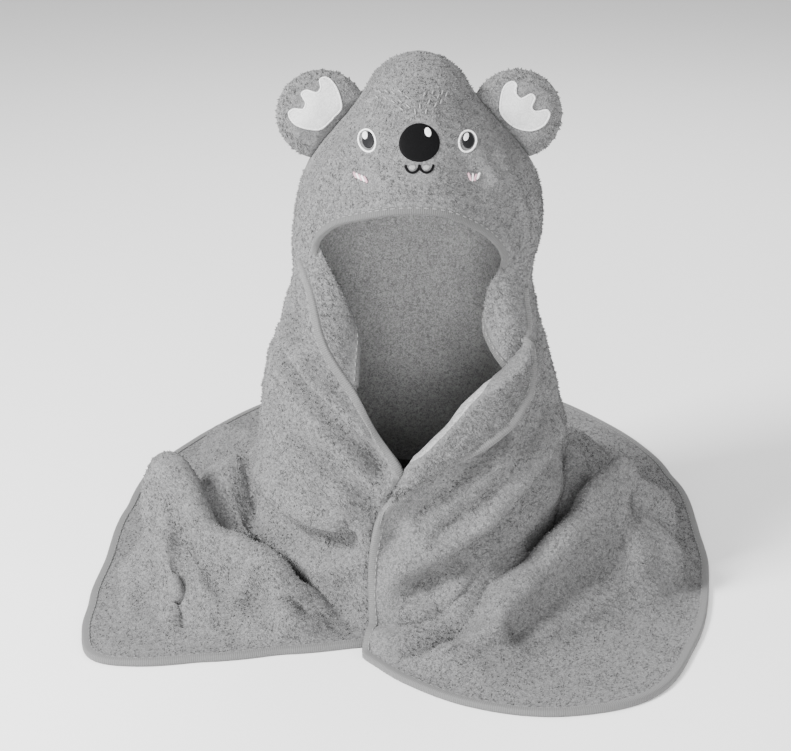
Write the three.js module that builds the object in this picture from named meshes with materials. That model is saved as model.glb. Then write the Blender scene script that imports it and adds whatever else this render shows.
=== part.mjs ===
// A hooded baby towel with a koala face, worn and wrapped, resting on the floor.
// One square plush towel is wrapped round a sitting shape. A second layer, the hood panel, is sewn
// over one corner of it and makes the hood, with a bound face opening. Two stuffed ears stand on the
// hood seam, and the face is embroidered on the hood panel.
// Millimetres, +Z up. The wearer looks along -Y, and +X is on the left hand of the wearer.
import * as THREE from 'three';

// ---- driving dimensions ----
const bodyHeight = 437;         // floor to the tip of the hood
const bodyGirth = 1;            // scale of every width and depth of the wrapped body
const skirtSpread = 1;          // further scale of the hem's distance from the middle of the body
const clothThickness = 4;       // plush cloth with its pile
const tapeThickness = 1.2;      // bound edges
const tapeWidth = 7;            // how far an edge tape reaches on to the cloth
const clothBend = 22;           // the cloth under a tape bends no tighter than this radius
const tapeGap = tapeWidth ** 2 / (2 * clothBend);   // tape to cloth
const seamGap = 3.2;            // hood panel edge to the towel edge that it is sewn to
const tuckGap = 5;              // more of that gap where the panel turns in to the face opening
const stitchGap = 0.45;         // embroidery to the cloth under it
const stitchThickness = 0.9;    // height of embroidery
const earRadius = 35;
const earReach = 13;            // hood seam to the centre of the ear
const earBulge = 7;             // half thickness of the stuffed ear
const earCloth = 1.5;           // ear cloth
const earSeamGap = 2.6;         // ear base to the hood cloth
const earClothGap = 0.3;        // between the ear's cloth, filling and patch
const noseWidth = 30;
const noseHeight = 25;
const noseRise = 381;           // height of the nose's centre
const eyeWidth = 13;
const eyeHeight = 13;
const eyeSpacing = 77;
const eyeRise = 381;
const cheekWidth = 13;
const cheekHeight = 6.5;
const cheekRise = 357.5;
const cheekSpacing = 84;
const mouthDrop = 21;           // nose centre to the bottom of the mouth's curves

const rad = Math.PI / 180;
const clamp = (value, low, high) => Math.min(high, Math.max(low, value));
const smooth = (from, to, value) => {
  const share = clamp((value - from) / (to - from), 0, 1);
  return share * share * (3 - 2 * share);
};

// A curve through the values of evenly spaced stations.
function through(values, place) {
  const last = values.length - 1;
  const at = clamp(place, 0, last);
  const cell = Math.min(Math.floor(at), last - 1);
  const part = at - cell;
  const before = values[Math.max(cell - 1, 0)];
  const start = values[cell];
  const end = values[cell + 1];
  const after = values[Math.min(cell + 2, last)];
  const slopeIn = (end - before) / 2;
  const slopeOut = (after - start) / 2;
  const square = part * part;
  const cube = square * part;
  return (2 * cube - 3 * square + 1) * start + (cube - 2 * square + part) * slopeIn
    + (3 * square - 2 * cube) * end + (cube - square) * slopeOut;
}

// ---- cross-sections of the worn towel, from the hood tip down to the lap ----
// The columns are the height, how far the section stands towards +X, its half widths, the depths to
// the front of each flap and to the back, and where the cloth ends, in degrees from the front.
const levelColumns = [
  'z', 'middle', 'left', 'right', 'frontLeft', 'frontRight', 'back', 'edgeLeft', 'edgeRight',
];
const levels = [
  [437, 6, 0, 0, 0, 0, 0, 93, 93],
  [425, 6, 28, 28, 26, 26, 29, 93, 93],
  [399, 6, 47, 47, 49, 49, 60, 93, 93],
  [350, 7, 86, 87, 80, 80, 92, 93, 93],
  [305, 6, 97, 97, 90, 90, 104, 88, 92],
  [262, 3, 94, 92, 90, 88, 103, 59, 70],
  [225, 1, 103, 102, 91, 90, 98, 41, 62],
  [190, 0, 113, 112, 89, 92, 98, 22, 49],
  [155, 0, 119, 120, 94, 103, 105, 10, 7],
  [125, 0, 123, 125, 98, 111, 113, 1, -6],
  [90, 0, 130, 122, 100, 116, 123, -4, -13],
  [56, 0, 122, 113, 106, 127, 142, -4, -14],
].map((row) => Object.fromEntries(row.map((value, i) => [levelColumns[i], value])));
const lastLevel = levels.length - 1;
const waistLevel = 9;           // below this level the cloth follows the lap
const hipShare = 0.56;          // share of the cloth's rows that lies above the lap
const levelRise = levels[0].z;

function section(name, level) {
  return through(levels.map((one) => one[name]), level);
}

// The hood's tip is round: from it down to the second section the height falls with the square of
// the level.
function heightOf(level) {
  const crown = levels[0].z - levels[1].z;
  const height = level < 1 ? levels[0].z - crown * level ** 2 : section('z', level);
  return height * bodyHeight / levelRise;
}

const hoodFront = 20;           // the front of the hood reaches this far round, in degrees

// A point on the body at a level, theta degrees from the front (positive on the -X side). Past the
// back, theta goes on from 180 to the right flap, which lies over the left one in front.
function bodyPoint(level, theta) {
  const side = Math.sin(theta * rad);
  const ahead = Math.cos(theta * rad);
  const onRight = theta > 180 || theta < -hoodFront;
  const front = section(onRight ? 'frontRight' : 'frontLeft', level);
  const width = side > 0 ? section('left', level) : section('right', level);
  const depth = ahead > 0 ? front : section('back', level);
  const x = section('middle', level) - width * side;
  return new THREE.Vector3(x * bodyGirth, -depth * ahead * bodyGirth, heightOf(level));
}

// ---- the lap and skirt: legs and folds under the cloth, as ridges on the floor ----
// from and to: [x, y, height] of a ridge's two ends, spread: its half width.
const ridges = [
  { from: [-60, 60, 88], to: [-188, -22, 80], spread: 44 },       // left thigh
  { from: [-188, -22, 76], to: [-95, -98, 34], spread: 34 },      // left shin
  { from: [60, 60, 88], to: [176, -20, 80], spread: 44 },         // right thigh
  { from: [176, -20, 76], to: [62, -108, 50], spread: 34 },       // right shin
  { from: [-30, -74, 40], to: [40, -92, 44], spread: 26 },        // feet
  { from: [0, 50, 62], to: [0, 90, 58], spread: 96 },             // seat
  { from: [-95, 125, 66], to: [-176, 205, 50], spread: 30 },      // fold behind the left thigh
  { from: [95, 130, 58], to: [155, 240, 30], spread: 30 },        // fold behind the right thigh
  { from: [-20, 150, 50], to: [-60, 330, 16], spread: 30 },       // folds of the train
  { from: [50, 160, 46], to: [70, 320, 14], spread: 30 },
];
const ridgeSharpness = 3;
const ridgeFoot = 0.05;         // a ridge ends where it is this share of its height

function lapHeight(x, y) {
  let total = 0;
  for (const { from, to, spread } of ridges) {
    const [ax, ay, ah] = from.map((value, axis) => (axis < 2 ? value * bodyGirth : value));
    const [bx, by, bh] = to.map((value, axis) => (axis < 2 ? value * bodyGirth : value));
    const length = (bx - ax) ** 2 + (by - ay) ** 2;
    const share = clamp(((x - ax) * (bx - ax) + (y - ay) * (by - ay)) / length, 0, 1);
    const away = Math.hypot(x - ax - share * (bx - ax), y - ay - share * (by - ay));
    const rise = Math.exp(-((away / (spread * bodyGirth)) ** 2));
    const height = (ah + share * (bh - ah)) * Math.max(0, rise - ridgeFoot) / (1 - ridgeFoot);
    total += height ** ridgeSharpness;
  }
  return total ** (1 / ridgeSharpness) * bodyHeight / levelRise;
}

// The hem on the floor: [degrees from the front, distance from the middle of the body].
const hem = [
  [-5, 130], [16, 136], [35, 174], [46, 223], [53, 268], [58, 286], [66, 278], [76, 263],
  [96, 254], [118, 280], [132, 319], [147, 362], [165, 432], [180, 476], [190, 462],
  [199, 430], [209, 389], [219, 352], [230, 313], [250, 265], [267, 248], [282, 244],
  [302, 255], [321, 276], [336, 262], [348, 232], [362, 187], [374, 153],
];

function hemRadius(theta) {
  const next = clamp(hem.findIndex(([angle]) => angle > theta), 1, hem.length - 1);
  const [fromAngle] = hem[next - 1];
  const [toAngle] = hem[next];
  const place = next - 1 + clamp((theta - fromAngle) / (toAngle - fromAngle), 0, 1);
  return through(hem.map(([, radius]) => radius), place) * skirtSpread * bodyGirth;
}

const flapLift = 11;            // height of the right flap over the left one, in front
const mergeLevel = 7;           // level where the hood's rim and seams meet

// The towel: along goes from the left flap's edge round the back to the right flap's edge, and
// down goes from the hood tip over the back and the lap to the hem.
function towelPoint(along, down) {
  const level = Math.min(down / hipShare, 1) * lastLevel;
  const start = section('edgeLeft', level);
  const end = 360 - section('edgeRight', level);
  const hipTheta = start + (end - start) * along;
  const point = bodyPoint(level, hipTheta);
  if (level <= waistLevel) {
    return point;
  }
  const hip = bodyPoint(lastLevel, hipTheta);
  const sink = smooth(waistLevel, lastLevel, level);
  const lift = flapLift * smooth(325, 350, hipTheta);
  const lap = lapHeight(hip.x, hip.y) + clothThickness + lift;
  point.z += (lap - heightOf(lastLevel)) * sink;
  if (down <= hipShare) {
    return point;
  }
  const share = (down - hipShare) / (1 - hipShare);
  const hemStart = hem[0][0];
  const hemEnd = hem[hem.length - 1][0];
  const theta = hemStart + (hemEnd - hemStart) * (hipTheta - start) / (end - start);
  const reach = hemRadius(theta);
  const x = hip.x + (-reach * Math.sin(theta * rad) - hip.x) * share;
  const y = hip.y + (-reach * Math.cos(theta * rad) - hip.y) * share;
  const lie = 1 - smooth(0.6, 0.97, share);
  const z = (lapHeight(x, y) + lift * (1 - smooth(0.35, 1, share))) * lie + clothThickness;
  return new THREE.Vector3(x, y, z);
}

// ---- the hood panel ----
// The rim of the face opening from the left merge point over the forehead to the right one,
// where the two hood seams end: [x, y, z].
const rim = [
  [-34, -80, 195], [-36, -67, 209], [-41, -51, 226], [-53, -34, 249], [-65, -29, 271],
  [-70, -42, 294], [-57, -64, 316], [-29, -83, 328], [2, -89, 331], [31, -83, 327],
  [60, -64, 307], [73, -44, 282], [66, -28, 256], [56, -34, 232], [62, -46, 214],
  [72, -58, 200], [80, -66, 192],
];
function rimPoint(across) {
  const place = (across + 1) / 2 * (rim.length - 1);
  const [x, y, z] = [0, 1, 2].map((axis) => through(rim.map((point) => point[axis]), place));
  return new THREE.Vector3(x * bodyGirth, y * bodyGirth, z * bodyHeight / levelRise);
}

function levelAt(height) {
  let high = 0;
  let low = lastLevel;
  for (let step = 0; step < 30; step++) {
    const middle = (high + low) / 2;
    if (heightOf(middle) > height) {
      high = middle;
    } else {
      low = middle;
    }
  }
  return (high + low) / 2;
}

function seamTheta(level, across) {
  const towelEdge = across < 0 ? section('edgeLeft', level) : section('edgeRight', level);
  const gap = seamGap + tuckGap * smooth(4, 5.2, level);
  const inset = gap / Math.max(section('left', level), 30) / rad;
  return (towelEdge - inset) * -across;
}

// The hood panel: across goes from the left seam (-1) to the right seam (1), and down goes from
// the hood tip to the rim. It lies on the body's front, and is drawn in to the rim at the cheeks.
function panelPoint(across, down) {
  const end = rimPoint(across);
  const endLevel = Math.min(levelAt(end.z), mergeLevel);
  const endTheta = seamTheta(endLevel, across);
  const level = endLevel * down;
  const offset = end.clone().sub(bodyPoint(endLevel, endTheta));
  const point = bodyPoint(level, seamTheta(level, across));
  point.y -= seamGap * (1 - smooth(0.5, 2.5, level));
  return point.addScaledVector(offset, down ** 3);
}

// ---- closed bodies from surfaces ----
function finish(name, vertices, triangles, colour, roughness) {
  const geometry = new THREE.BufferGeometry();
  const numbers = vertices.flatMap((point) => point.toArray());
  geometry.setAttribute('position', new THREE.Float32BufferAttribute(numbers, 3));
  geometry.setIndex(triangles);
  geometry.computeVertexNormals();
  const material = new THREE.MeshStandardMaterial({ color: colour, roughness, metalness: 0 });
  const mesh = new THREE.Mesh(geometry, material);
  mesh.name = name;
  return mesh;
}

// The way out of a surface, across both of its directions.
function normalAt(surface, u, v) {
  const step = 0.004;
  const alongU = surface(Math.min(u + step, 1), v).sub(surface(Math.max(u - step, 0), v));
  const alongV = surface(u, Math.min(v + step, 1)).sub(surface(u, Math.max(v - step, 0)));
  return alongU.cross(alongV).normalize();
}

// Cloth: a surface of u and v (both 0 to 1), v = 0 at a pole, given its thickness inwards.
function clothBody(name, surface, wayOut, columns, rows, thickness, colour) {
  const vertices = [];
  const triangles = [];
  const outer = [];
  const inner = [];
  for (let row = 0; row <= rows.length - 1; row++) {
    outer.push([]);
    inner.push([]);
    for (let column = 0; column <= columns; column++) {
      if (row === 0 && column > 0) {
        outer[0].push(outer[0][0]);
        inner[0].push(inner[0][0]);
        continue;
      }
      const u = column / columns;
      const point = surface(u, rows[row]);
      const normal = row === 0 ? up : wayOut(u, rows[row]);
      const under = point.clone().addScaledVector(normal, -thickness);
      under.z = Math.max(under.z, 0);
      outer[row].push(vertices.push(point) - 1);
      inner[row].push(vertices.push(under) - 1);
    }
  }
  const quad = (a, b, c, d) => {
    if (a !== b) {
      triangles.push(a, b, c);
    }
    if (c !== d) {
      triangles.push(a, c, d);
    }
  };
  for (let row = 0; row < rows.length - 1; row++) {
    for (let column = 0; column < columns; column++) {
      quad(outer[row][column], outer[row][column + 1], outer[row + 1][column + 1], outer[row + 1][column]);
      quad(inner[row][column + 1], inner[row][column], inner[row + 1][column], inner[row + 1][column + 1]);
    }
    const [right, left] = [columns, 0];
    quad(outer[row][left], outer[row + 1][left], inner[row + 1][left], inner[row][left]);
    quad(outer[row + 1][right], outer[row][right], inner[row][right], inner[row + 1][right]);
  }
  const end = rows.length - 1;
  for (let column = 0; column < columns; column++) {
    quad(outer[end][column], outer[end][column + 1], inner[end][column + 1], inner[end][column]);
  }
  return finish(name, vertices, flipIfInside(vertices, triangles), colour, 1);
}

// Turns a closed body's faces round where they point in.
function flipIfInside(vertices, triangles) {
  let volume = 0;
  for (let i = 0; i < triangles.length; i += 3) {
    const [a, b, c] = triangles.slice(i, i + 3).map((index) => vertices[index]);
    volume += a.dot(b.clone().cross(c));
  }
  if (volume > 0) {
    return triangles;
  }
  const turned = [];
  for (let i = 0; i < triangles.length; i += 3) {
    turned.push(triangles[i], triangles[i + 2], triangles[i + 1]);
  }
  return turned;
}

// A profile carried along a path. Each station gives the point, the way out of the cloth's edge
// and the cloth's normal; the profile is a list of [outwards, along the normal].
function sweep(name, stations, profile, colour, roughness) {
  const vertices = [];
  const triangles = [];
  const count = profile.length;
  for (const { point, out, normal } of stations) {
    for (const [outwards, rise] of profile) {
      const corner = point.clone().addScaledVector(out, outwards).addScaledVector(normal, rise);
      corner.z = Math.max(corner.z, 0);
      vertices.push(corner);
    }
  }
  for (let i = 0; i < stations.length - 1; i++) {
    for (let j = 0; j < count; j++) {
      const a = i * count + j;
      const b = i * count + (j + 1) % count;
      triangles.push(a, b, b + count, a, b + count, a + count);
    }
  }
  const shape = new THREE.Shape(profile.map(([x, y]) => new THREE.Vector2(x, y)));
  const cap = THREE.ShapeUtils.triangulateShape(shape.getPoints(), []);
  const last = (stations.length - 1) * count;
  const turned = THREE.ShapeUtils.area(profile.map(([x, y]) => new THREE.Vector2(x, y))) < 0;
  for (const [a, b, c] of cap) {
    if (turned) {
      triangles.push(a, b, c, last + a, last + c, last + b);
    } else {
      triangles.push(a, c, b, last + a, last + b, last + c);
    }
  }
  return finish(name, vertices, flipIfInside(vertices, triangles), colour, roughness);
}

// A folded tape round a cloth edge: its section is open towards the cloth.
function tapeProfile(thickness) {
  const side = tapeGap + tapeThickness;
  const inner = thickness + tapeGap;
  return [
    [-tapeWidth, side], [tapeGap + tapeThickness, side],
    [tapeGap + tapeThickness, -inner - tapeThickness], [-tapeWidth, -inner - tapeThickness],
    [-tapeWidth, -inner], [tapeGap, -inner], [tapeGap, tapeGap], [-tapeWidth, tapeGap],
  ];
}

const plushGrey = 0x9a9a9a;
const tapeGrey = 0x8f8f8f;
const patchGrey = 0xd2d2d2;
const nearBlack = 0x1c1c1c;
const white = 0xf2f2f2;
const irisGrey = 0x4a4a4e;
const pink = 0xe6c3cb;

const object = new THREE.Group();
const up = new THREE.Vector3(0, 0, 1);

// ---- the towel and the hood panel ----
const rowsOf = (count, ease) => Array.from({ length: count + 1 }, (_, i) => (i / count) ** ease);
const upperRows = rowsOf(18, 1.2).map((share) => share * hipShare);
const skirtRows = rowsOf(11, 1).slice(1).map((share) => hipShare + share * (1 - hipShare));
const towelRows = [...upperRows, ...skirtRows];
const towelWayOut = (u, v) => normalAt(towelPoint, u, v);
const towelColumns = 60;
object.add(clothBody('towel_sheet', towelPoint, towelWayOut, towelColumns, towelRows, clothThickness,
  plushGrey));

const panelSurface = (u, v) => panelPoint(1 - 2 * u, v);
// At its seams the panel's edge stands square to the body, as the towel's edge does.
function panelWayOut(u, v) {
  const across = 1 - 2 * u;
  const own = normalAt(panelSurface, u, v);
  const level = Math.min(levelAt(rimPoint(across).z), mergeLevel) * v;
  const theta = seamTheta(level, across) * rad;
  const radial = new THREE.Vector3(-Math.sin(theta), -Math.cos(theta), 0);
  return own.lerp(radial, smooth(0.75, 1, Math.abs(across)) * smooth(2, 4, level)).normalize();
}
const panelColumns = 40;
const panelRows = rowsOf(12, 1);
object.add(clothBody('hood_panel', panelSurface, panelWayOut, panelColumns, panelRows, clothThickness,
  plushGrey));

// ---- bound edges ----
// Stations along one edge of a cloth. places is a list of [u, v] on its surface, and inward is
// the step in u and v to the cloth's next row or column, so that a tape lies flat on the cloth. A
// station too close to the one before is left out, because the tape would fold over itself there.
function edgeStations(surface, wayOut, places, inward) {
  const stations = places.map(([u, v]) => {
    const point = surface(u, v);
    const next = surface(u + inward[0], v + inward[1]);
    return { point, out: point.clone().sub(next).normalize(), normal: wayOut(u, v) };
  });
  return stations.filter(({ point }, i) => i === 0 || point.distanceTo(stations[i - 1].point) > stationStep);
}

const stationStep = 4;
const hemClear = 8;             // rows left free where an edge tape meets the hem's tape
const boundFrom = 4.35 / lastLevel * hipShare;   // the tape starts on the hood seam at this row
const sideRows = towelRows.filter((row) => row >= boundFrom).slice(0, -hemClear);
const tape = tapeProfile(clothThickness);
const hemTape = [
  [-tapeWidth, tapeGap + tapeThickness], [tapeGap + tapeThickness, tapeGap + tapeThickness],
  [tapeGap + tapeThickness, -clothThickness], [tapeGap, -clothThickness],
  [tapeGap, tapeGap], [-tapeWidth, tapeGap],
];
const leftPlaces = sideRows.map((row) => [0, row]);
const rightPlaces = sideRows.map((row) => [1, row]);
// Steps between the stations, so that a tape that twists doesn't cut through itself.
const twistSteps = 4;
function eased(stations) {
  const steps = stations.slice(1).flatMap((to, i) => Array.from({ length: twistSteps }, (_, step) => {
    const share = (step + 1) / twistSteps;
    const between = (name) => stations[i][name].clone().lerp(to[name], share);
    return { point: between('point'), out: between('out'), normal: between('normal') };
  }));
  return [stations[0], ...steps];
}
const hemPlaces = Array.from({ length: towelColumns + 1 }, (_, i) => [i / towelColumns, 1]).slice(4, -2);
const leftEdge = edgeStations(towelPoint, towelWayOut, leftPlaces, [1 / towelColumns, 0]);
const rightEdge = edgeStations(towelPoint, towelWayOut, rightPlaces, [-1 / towelColumns, 0]);
const hemEdge = edgeStations(towelPoint, towelWayOut, hemPlaces, [0, towelRows.at(-2) - 1]);
object.add(sweep('edge_binding_left', eased(leftEdge), tape, tapeGrey, 0.8));
object.add(sweep('edge_binding_right', eased(rightEdge), tape, tapeGrey, 0.8));
object.add(sweep('edge_binding_hem', hemEdge, hemTape, tapeGrey, 0.8));

const rimEnd = 4;               // columns left free where the rim's tape meets the seams
const rimPlaces = Array.from({ length: panelColumns + 1 }, (_, i) => [i / panelColumns, 1])
  .slice(rimEnd, -rimEnd);
const rimEdge = edgeStations(panelSurface, panelWayOut, rimPlaces, [0, panelRows.at(-2) - 1]);
object.add(sweep('hood_rim_binding', rimEdge, tape, tapeGrey, 0.8));

// ---- embroidery ----
// The place on the hood panel's outer face with a given x and z.
function onHood(x, z) {
  let u = 0.5;
  let v = 0.7;
  const step = 0.002;
  const stride = 0.08;
  for (let turn = 0; turn < 30; turn++) {
    const here = panelSurface(u, v);
    const byU = panelSurface(u + step, v).sub(here).divideScalar(step);
    const byV = panelSurface(u, v + step).sub(here).divideScalar(step);
    const [errorX, errorZ] = [x - here.x, z - here.z];
    const size = byU.x * byV.z - byV.x * byU.z;
    u = clamp(u + clamp((errorX * byV.z - byV.x * errorZ) / size, -stride, stride), 0.1, 0.9);
    v = clamp(v + clamp((byU.x * errorZ - errorX * byU.z) / size, -stride, stride), 0.2, 0.98);
  }
  return { point: panelSurface(u, v), normal: normalAt(panelSurface, u, v) };
}

// A raised pad inside a star-shaped outline. outline gives [x, y] for a turn from 0 to 1, place
// lays a flat point on the cloth, and heights gives the pad's bottom and top over that point.
function pad(name, outline, place, heights, sides, rings, colour, roughness) {
  const vertices = [];
  const triangles = [];
  const layer = (which) => {
    const lay = (x, y, share) => {
      const { point, normal } = place(x, y);
      return vertices.push(point.addScaledVector(normal, heights(x, y, share)[which])) - 1;
    };
    const centre = lay(0, 0, 0);
    const loops = [];
    for (let ring = 1; ring <= rings; ring++) {
      const share = ring / rings;
      loops.push(Array.from({ length: sides }, (_, side) => {
        const [x, y] = outline(side / sides);
        return lay(x * share, y * share, share);
      }));
    }
    return { centre, loops };
  };
  const [bottom, top] = [layer(0), layer(1)];
  for (const [part, turned] of [[top, false], [bottom, true]]) {
    for (let side = 0; side < sides; side++) {
      const next = (side + 1) % sides;
      const faces = [[part.centre, part.loops[0][side], part.loops[0][next]]];
      for (let ring = 0; ring < rings - 1; ring++) {
        const [a, b] = [part.loops[ring][side], part.loops[ring][next]];
        const [c, d] = [part.loops[ring + 1][next], part.loops[ring + 1][side]];
        faces.push([a, d, c], [a, c, b]);
      }
      for (const [a, b, c] of faces) {
        triangles.push(...(turned ? [a, c, b] : [a, b, c]));
      }
    }
  }
  const [topRim, bottomRim] = [top.loops[rings - 1], bottom.loops[rings - 1]];
  for (let side = 0; side < sides; side++) {
    const next = (side + 1) % sides;
    triangles.push(topRim[side], bottomRim[side], bottomRim[next]);
    triangles.push(topRim[side], bottomRim[next], topRim[next]);
  }
  return finish(name, vertices, flipIfInside(vertices, triangles), colour, roughness);
}

// The heights of a pad of one thickness, with a middle that stands higher by its crown.
const layered = (lift, thickness, crown) => (x, y, share) => [
  lift, lift + thickness + crown * (1 - share ** 2),
];

// An egg: width across, height up, tilt in degrees, and narrow at the top by the given share.
function egg(width, height, tilt, narrowing) {
  return (turn) => {
    const angle = turn * 2 * Math.PI;
    const x = width / 2 * Math.cos(angle) * (1 - narrowing * Math.sin(angle));
    const y = height / 2 * Math.sin(angle);
    const [c, s] = [Math.cos(tilt * rad), Math.sin(tilt * rad)];
    return [x * c - y * s, x * s + y * c];
  };
}

const scaleUp = bodyHeight / levelRise;
const faceMiddle = levels[2].middle;
const at = (centreX, centreZ) => (x, y) => onHood(faceMiddle + centreX + x, centreZ * scaleUp + y);
const belowNose = (centreX, drop) => (x, y) => at(centreX, noseRise)(x, y - drop);
const noseCrown = 1;
const glintThickness = 0.5;
const glintSize = 5.5;
object.add(pad('nose', egg(noseWidth, noseHeight, 0, 0.14), at(0, noseRise),
  layered(stitchGap, stitchThickness, noseCrown), 28, 4, nearBlack, 0.5));
object.add(pad('nose_glint', egg(glintSize, glintSize, 0, 0), belowNose(noseWidth / 5, -noseHeight / 4),
  layered(stitchGap * 2 + stitchThickness + noseCrown, glintThickness, 0), 12, 1, white, 0.5));

const irisInset = 4;            // the white's outline shows round the iris
for (const [side, sign] of [['left', -1], ['right', 1]]) {
  const eyePlace = at(sign * eyeSpacing / 2, eyeRise);
  const tilt = sign * 24;
  const secondLift = stitchGap * 2 + stitchThickness;
  const thirdLift = stitchGap * 3 + stitchThickness * 2;
  object.add(pad(`eye_${side}_white`, egg(eyeWidth, eyeHeight, tilt, 0.1), eyePlace,
    layered(stitchGap, stitchThickness, 0), 20, 2, white, 0.5));
  object.add(pad(`eye_${side}_iris`, egg(eyeWidth - irisInset, eyeHeight - irisInset, tilt, 0.1), eyePlace,
    layered(secondLift, stitchThickness, 0), 16, 1, irisGrey, 0.5));
  object.add(pad(`eye_${side}_glint`, egg(3.6, 4.2, tilt, 0), at(sign * eyeSpacing / 2 - 1.2, eyeRise + 3),
    layered(thirdLift, glintThickness, 0), 8, 1, white, 0.5));
  object.add(pad(`cheek_${side}`, egg(cheekWidth, cheekHeight, sign * -14, 0),
    at(sign * cheekSpacing / 2, cheekRise), layered(stitchGap, stitchThickness, 0), 16, 2, pink, 0.6));
  object.add(pad(`muzzle_${side}`, egg(3.2, 2, 0, 0), belowNose(sign * 5.4, mouthDrop - 4.3),
    layered(stitchGap, stitchThickness, 0), 10, 1, patchGrey, 0.6));
}

const mouthHalf = 10.3;         // half width of the mouth's two curves
const mouthDepth = 6.5;
const mouthSteps = 28;
const mouthStations = Array.from({ length: mouthSteps + 1 }, (_, i) => {
  const shape = (place) => {
    const x = (2 * place / mouthSteps - 1) * mouthHalf;
    return [x, -mouthDepth * (1 - Math.cos(2 * Math.PI * x / mouthHalf)) / 2];
  };
  const mouthPlace = belowNose(0, mouthDrop - mouthDepth);
  const { point, normal } = mouthPlace(...shape(i));
  const ahead = mouthPlace(...shape(i + 0.5)).point.sub(mouthPlace(...shape(i - 0.5)).point);
  return { point, normal, out: ahead.cross(normal).normalize() };
});
const strokeHalf = 1.1;
const stroke = [
  [-strokeHalf, stitchGap], [strokeHalf, stitchGap],
  [strokeHalf, stitchGap + stitchThickness], [-strokeHalf, stitchGap + stitchThickness],
];
object.add(sweep('mouth', mouthStations, stroke, nearBlack, 0.5));

// ---- ears ----
// An ear stands on the hood's seam. In its own frame x runs along the seam towards the hood's tip,
// y leads away from the hood and z is forwards; the seam is at y = 0.
const earLevel = 2.45;          // level of the middle of the ear's base
const seamAngle = levels[2].edgeLeft;
const earSides = 32;
const earRings = 4;
const fillingShare = 0.94;      // the filling ends short of the ear's stitched edge

function earOutline(turn) {
  const angle = turn * 2 * Math.PI;
  const [x, y] = [Math.cos(angle), Math.sin(angle)];
  const toBase = y < 0 ? (earReach - earSeamGap) / -y : Infinity;
  const reach = Math.min(earRadius, toBase);
  return [x * reach, y * reach];
}

// How far a point of the ear is from its middle to its outline, 0 to 1.
function earShare(x, y) {
  const length = Math.hypot(x, y);
  const [edgeX, edgeY] = earOutline(Math.atan2(y, x) / (2 * Math.PI));
  return Math.min(length / Math.hypot(edgeX, edgeY), 1);
}

const earInside = (x, y) => earBulge * (1 - earShare(x, y) ** 2);

// Patch outlines: [towards the hood, up] from the ear's middle.
const patchLeft = [
  [17, -6.5], [15.2, 7.9], [11.5, 22], [5, 29.5], [-0.8, 28.5], [-0.2, 22.5], [-3.5, 18.8],
  [-11.1, 20.4], [-14.9, 17.5], [-11.8, 11.2], [-14.1, 5.9], [-21.6, 5.6], [-25, 1.6],
  [-19.3, -6], [-2.8, -9.6], [13, -8.6],
];
const patchRight = [
  [8, -11.5], [13.3, 1.6], [12.2, 14.4], [9.4, 23.2], [4, 26.4], [0.8, 24], [1.9, 19.2],
  [-2.7, 14], [-10.2, 17.2], [-13.2, 14.4], [-10.9, 7.2], [-14.7, 3.6], [-22.2, 4.8],
  [-24.8, 0.8], [-19.9, -7.2], [-9.4, -10.8],
];
const patchMiddle = [0, 4];     // the lobes spread out from here
const patchThickness = 0.8;
const patchGap = 0.6;
const patchClear = 6;           // a patch stays this far above the ear's base, so that the ear can flop
const earScale = earRadius / 35;

// A closed smooth outline through points, as a function of a turn from 0 to 1.
function smoothOutline(points) {
  const count = points.length;
  const ring = [...points.slice(-1), ...points, ...points.slice(0, 2)];
  return (turn) => [0, 1].map((axis) => through(ring.map((one) => one[axis]), (turn % 1) * count + 1));
}

function makeEar(side, sign, outline) {
  const ear = new THREE.Group();
  const base = bodyPoint(earLevel, -sign * seamAngle);
  const above = bodyPoint(earLevel - 0.3, -sign * seamAngle);
  const slope = above.clone().sub(base).setY(0).normalize();
  const outwards = new THREE.Vector3(sign * slope.z, 0, -sign * slope.x);
  const forwards = new THREE.Vector3(0, -1, 0);
  const basis = new THREE.Matrix4().makeBasis(slope, outwards, forwards).setPosition(base);
  // The ear's flat middle plane, with [x, y] from the middle of its disc.
  const place = (x, y) => {
    const point = new THREE.Vector3(x, y + earReach, 0).applyMatrix4(basis);
    return { point, normal: forwards.clone() };
  };
  const half = earClothGap / 2;
  const frontHeights = (x, y) => [half + earInside(x, y), half + earInside(x, y) + earCloth];
  const backHeights = (x, y) => frontHeights(x, y).map((height) => -height);
  const fillingHeights = (x, y) => {
    const height = Math.max(earInside(x, y) - half, earClothGap);
    return [-height, height];
  };
  const fillingOutline = (turn) => earOutline(turn).map((value) => value * fillingShare);
  ear.add(pad(`ear_${side}_front`, earOutline, place, frontHeights, earSides, earRings, plushGrey, 1));
  ear.add(pad(`ear_${side}_back`, earOutline, place, backHeights, earSides, earRings, plushGrey, 1));
  ear.add(pad(`ear_${side}_filling`, fillingOutline, place, fillingHeights, earSides, earRings, white, 1));

  const turnIn = ([inwards, upwards]) => {
    const flat = new THREE.Vector3(-sign * inwards * earScale, 0, upwards * earScale);
    return [flat.dot(slope), Math.max(flat.dot(outwards), patchClear - earReach)];
  };
  const middle = turnIn(patchMiddle);
  const patchEdge = smoothOutline(outline.map(turnIn).map(([x, y]) => [x - middle[0], y - middle[1]]));
  const patchPlace = (x, y) => place(x + middle[0], y + middle[1]);
  const patchLow = (x, y) => half + earInside(x + middle[0], y + middle[1]) + earCloth + patchGap;
  const patchHeights = (x, y) => [patchLow(x, y), patchLow(x, y) + patchThickness];
  ear.add(pad(`ear_${side}_patch`, patchEdge, patchPlace, patchHeights, 44, 3, patchGrey, 0.7));
  ear.userData = { hingePoint: base, hingeAxis: slope };
  return ear;
}

object.add(makeEar('left', -1, patchLeft));
object.add(makeEar('right', 1, patchRight));

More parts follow.
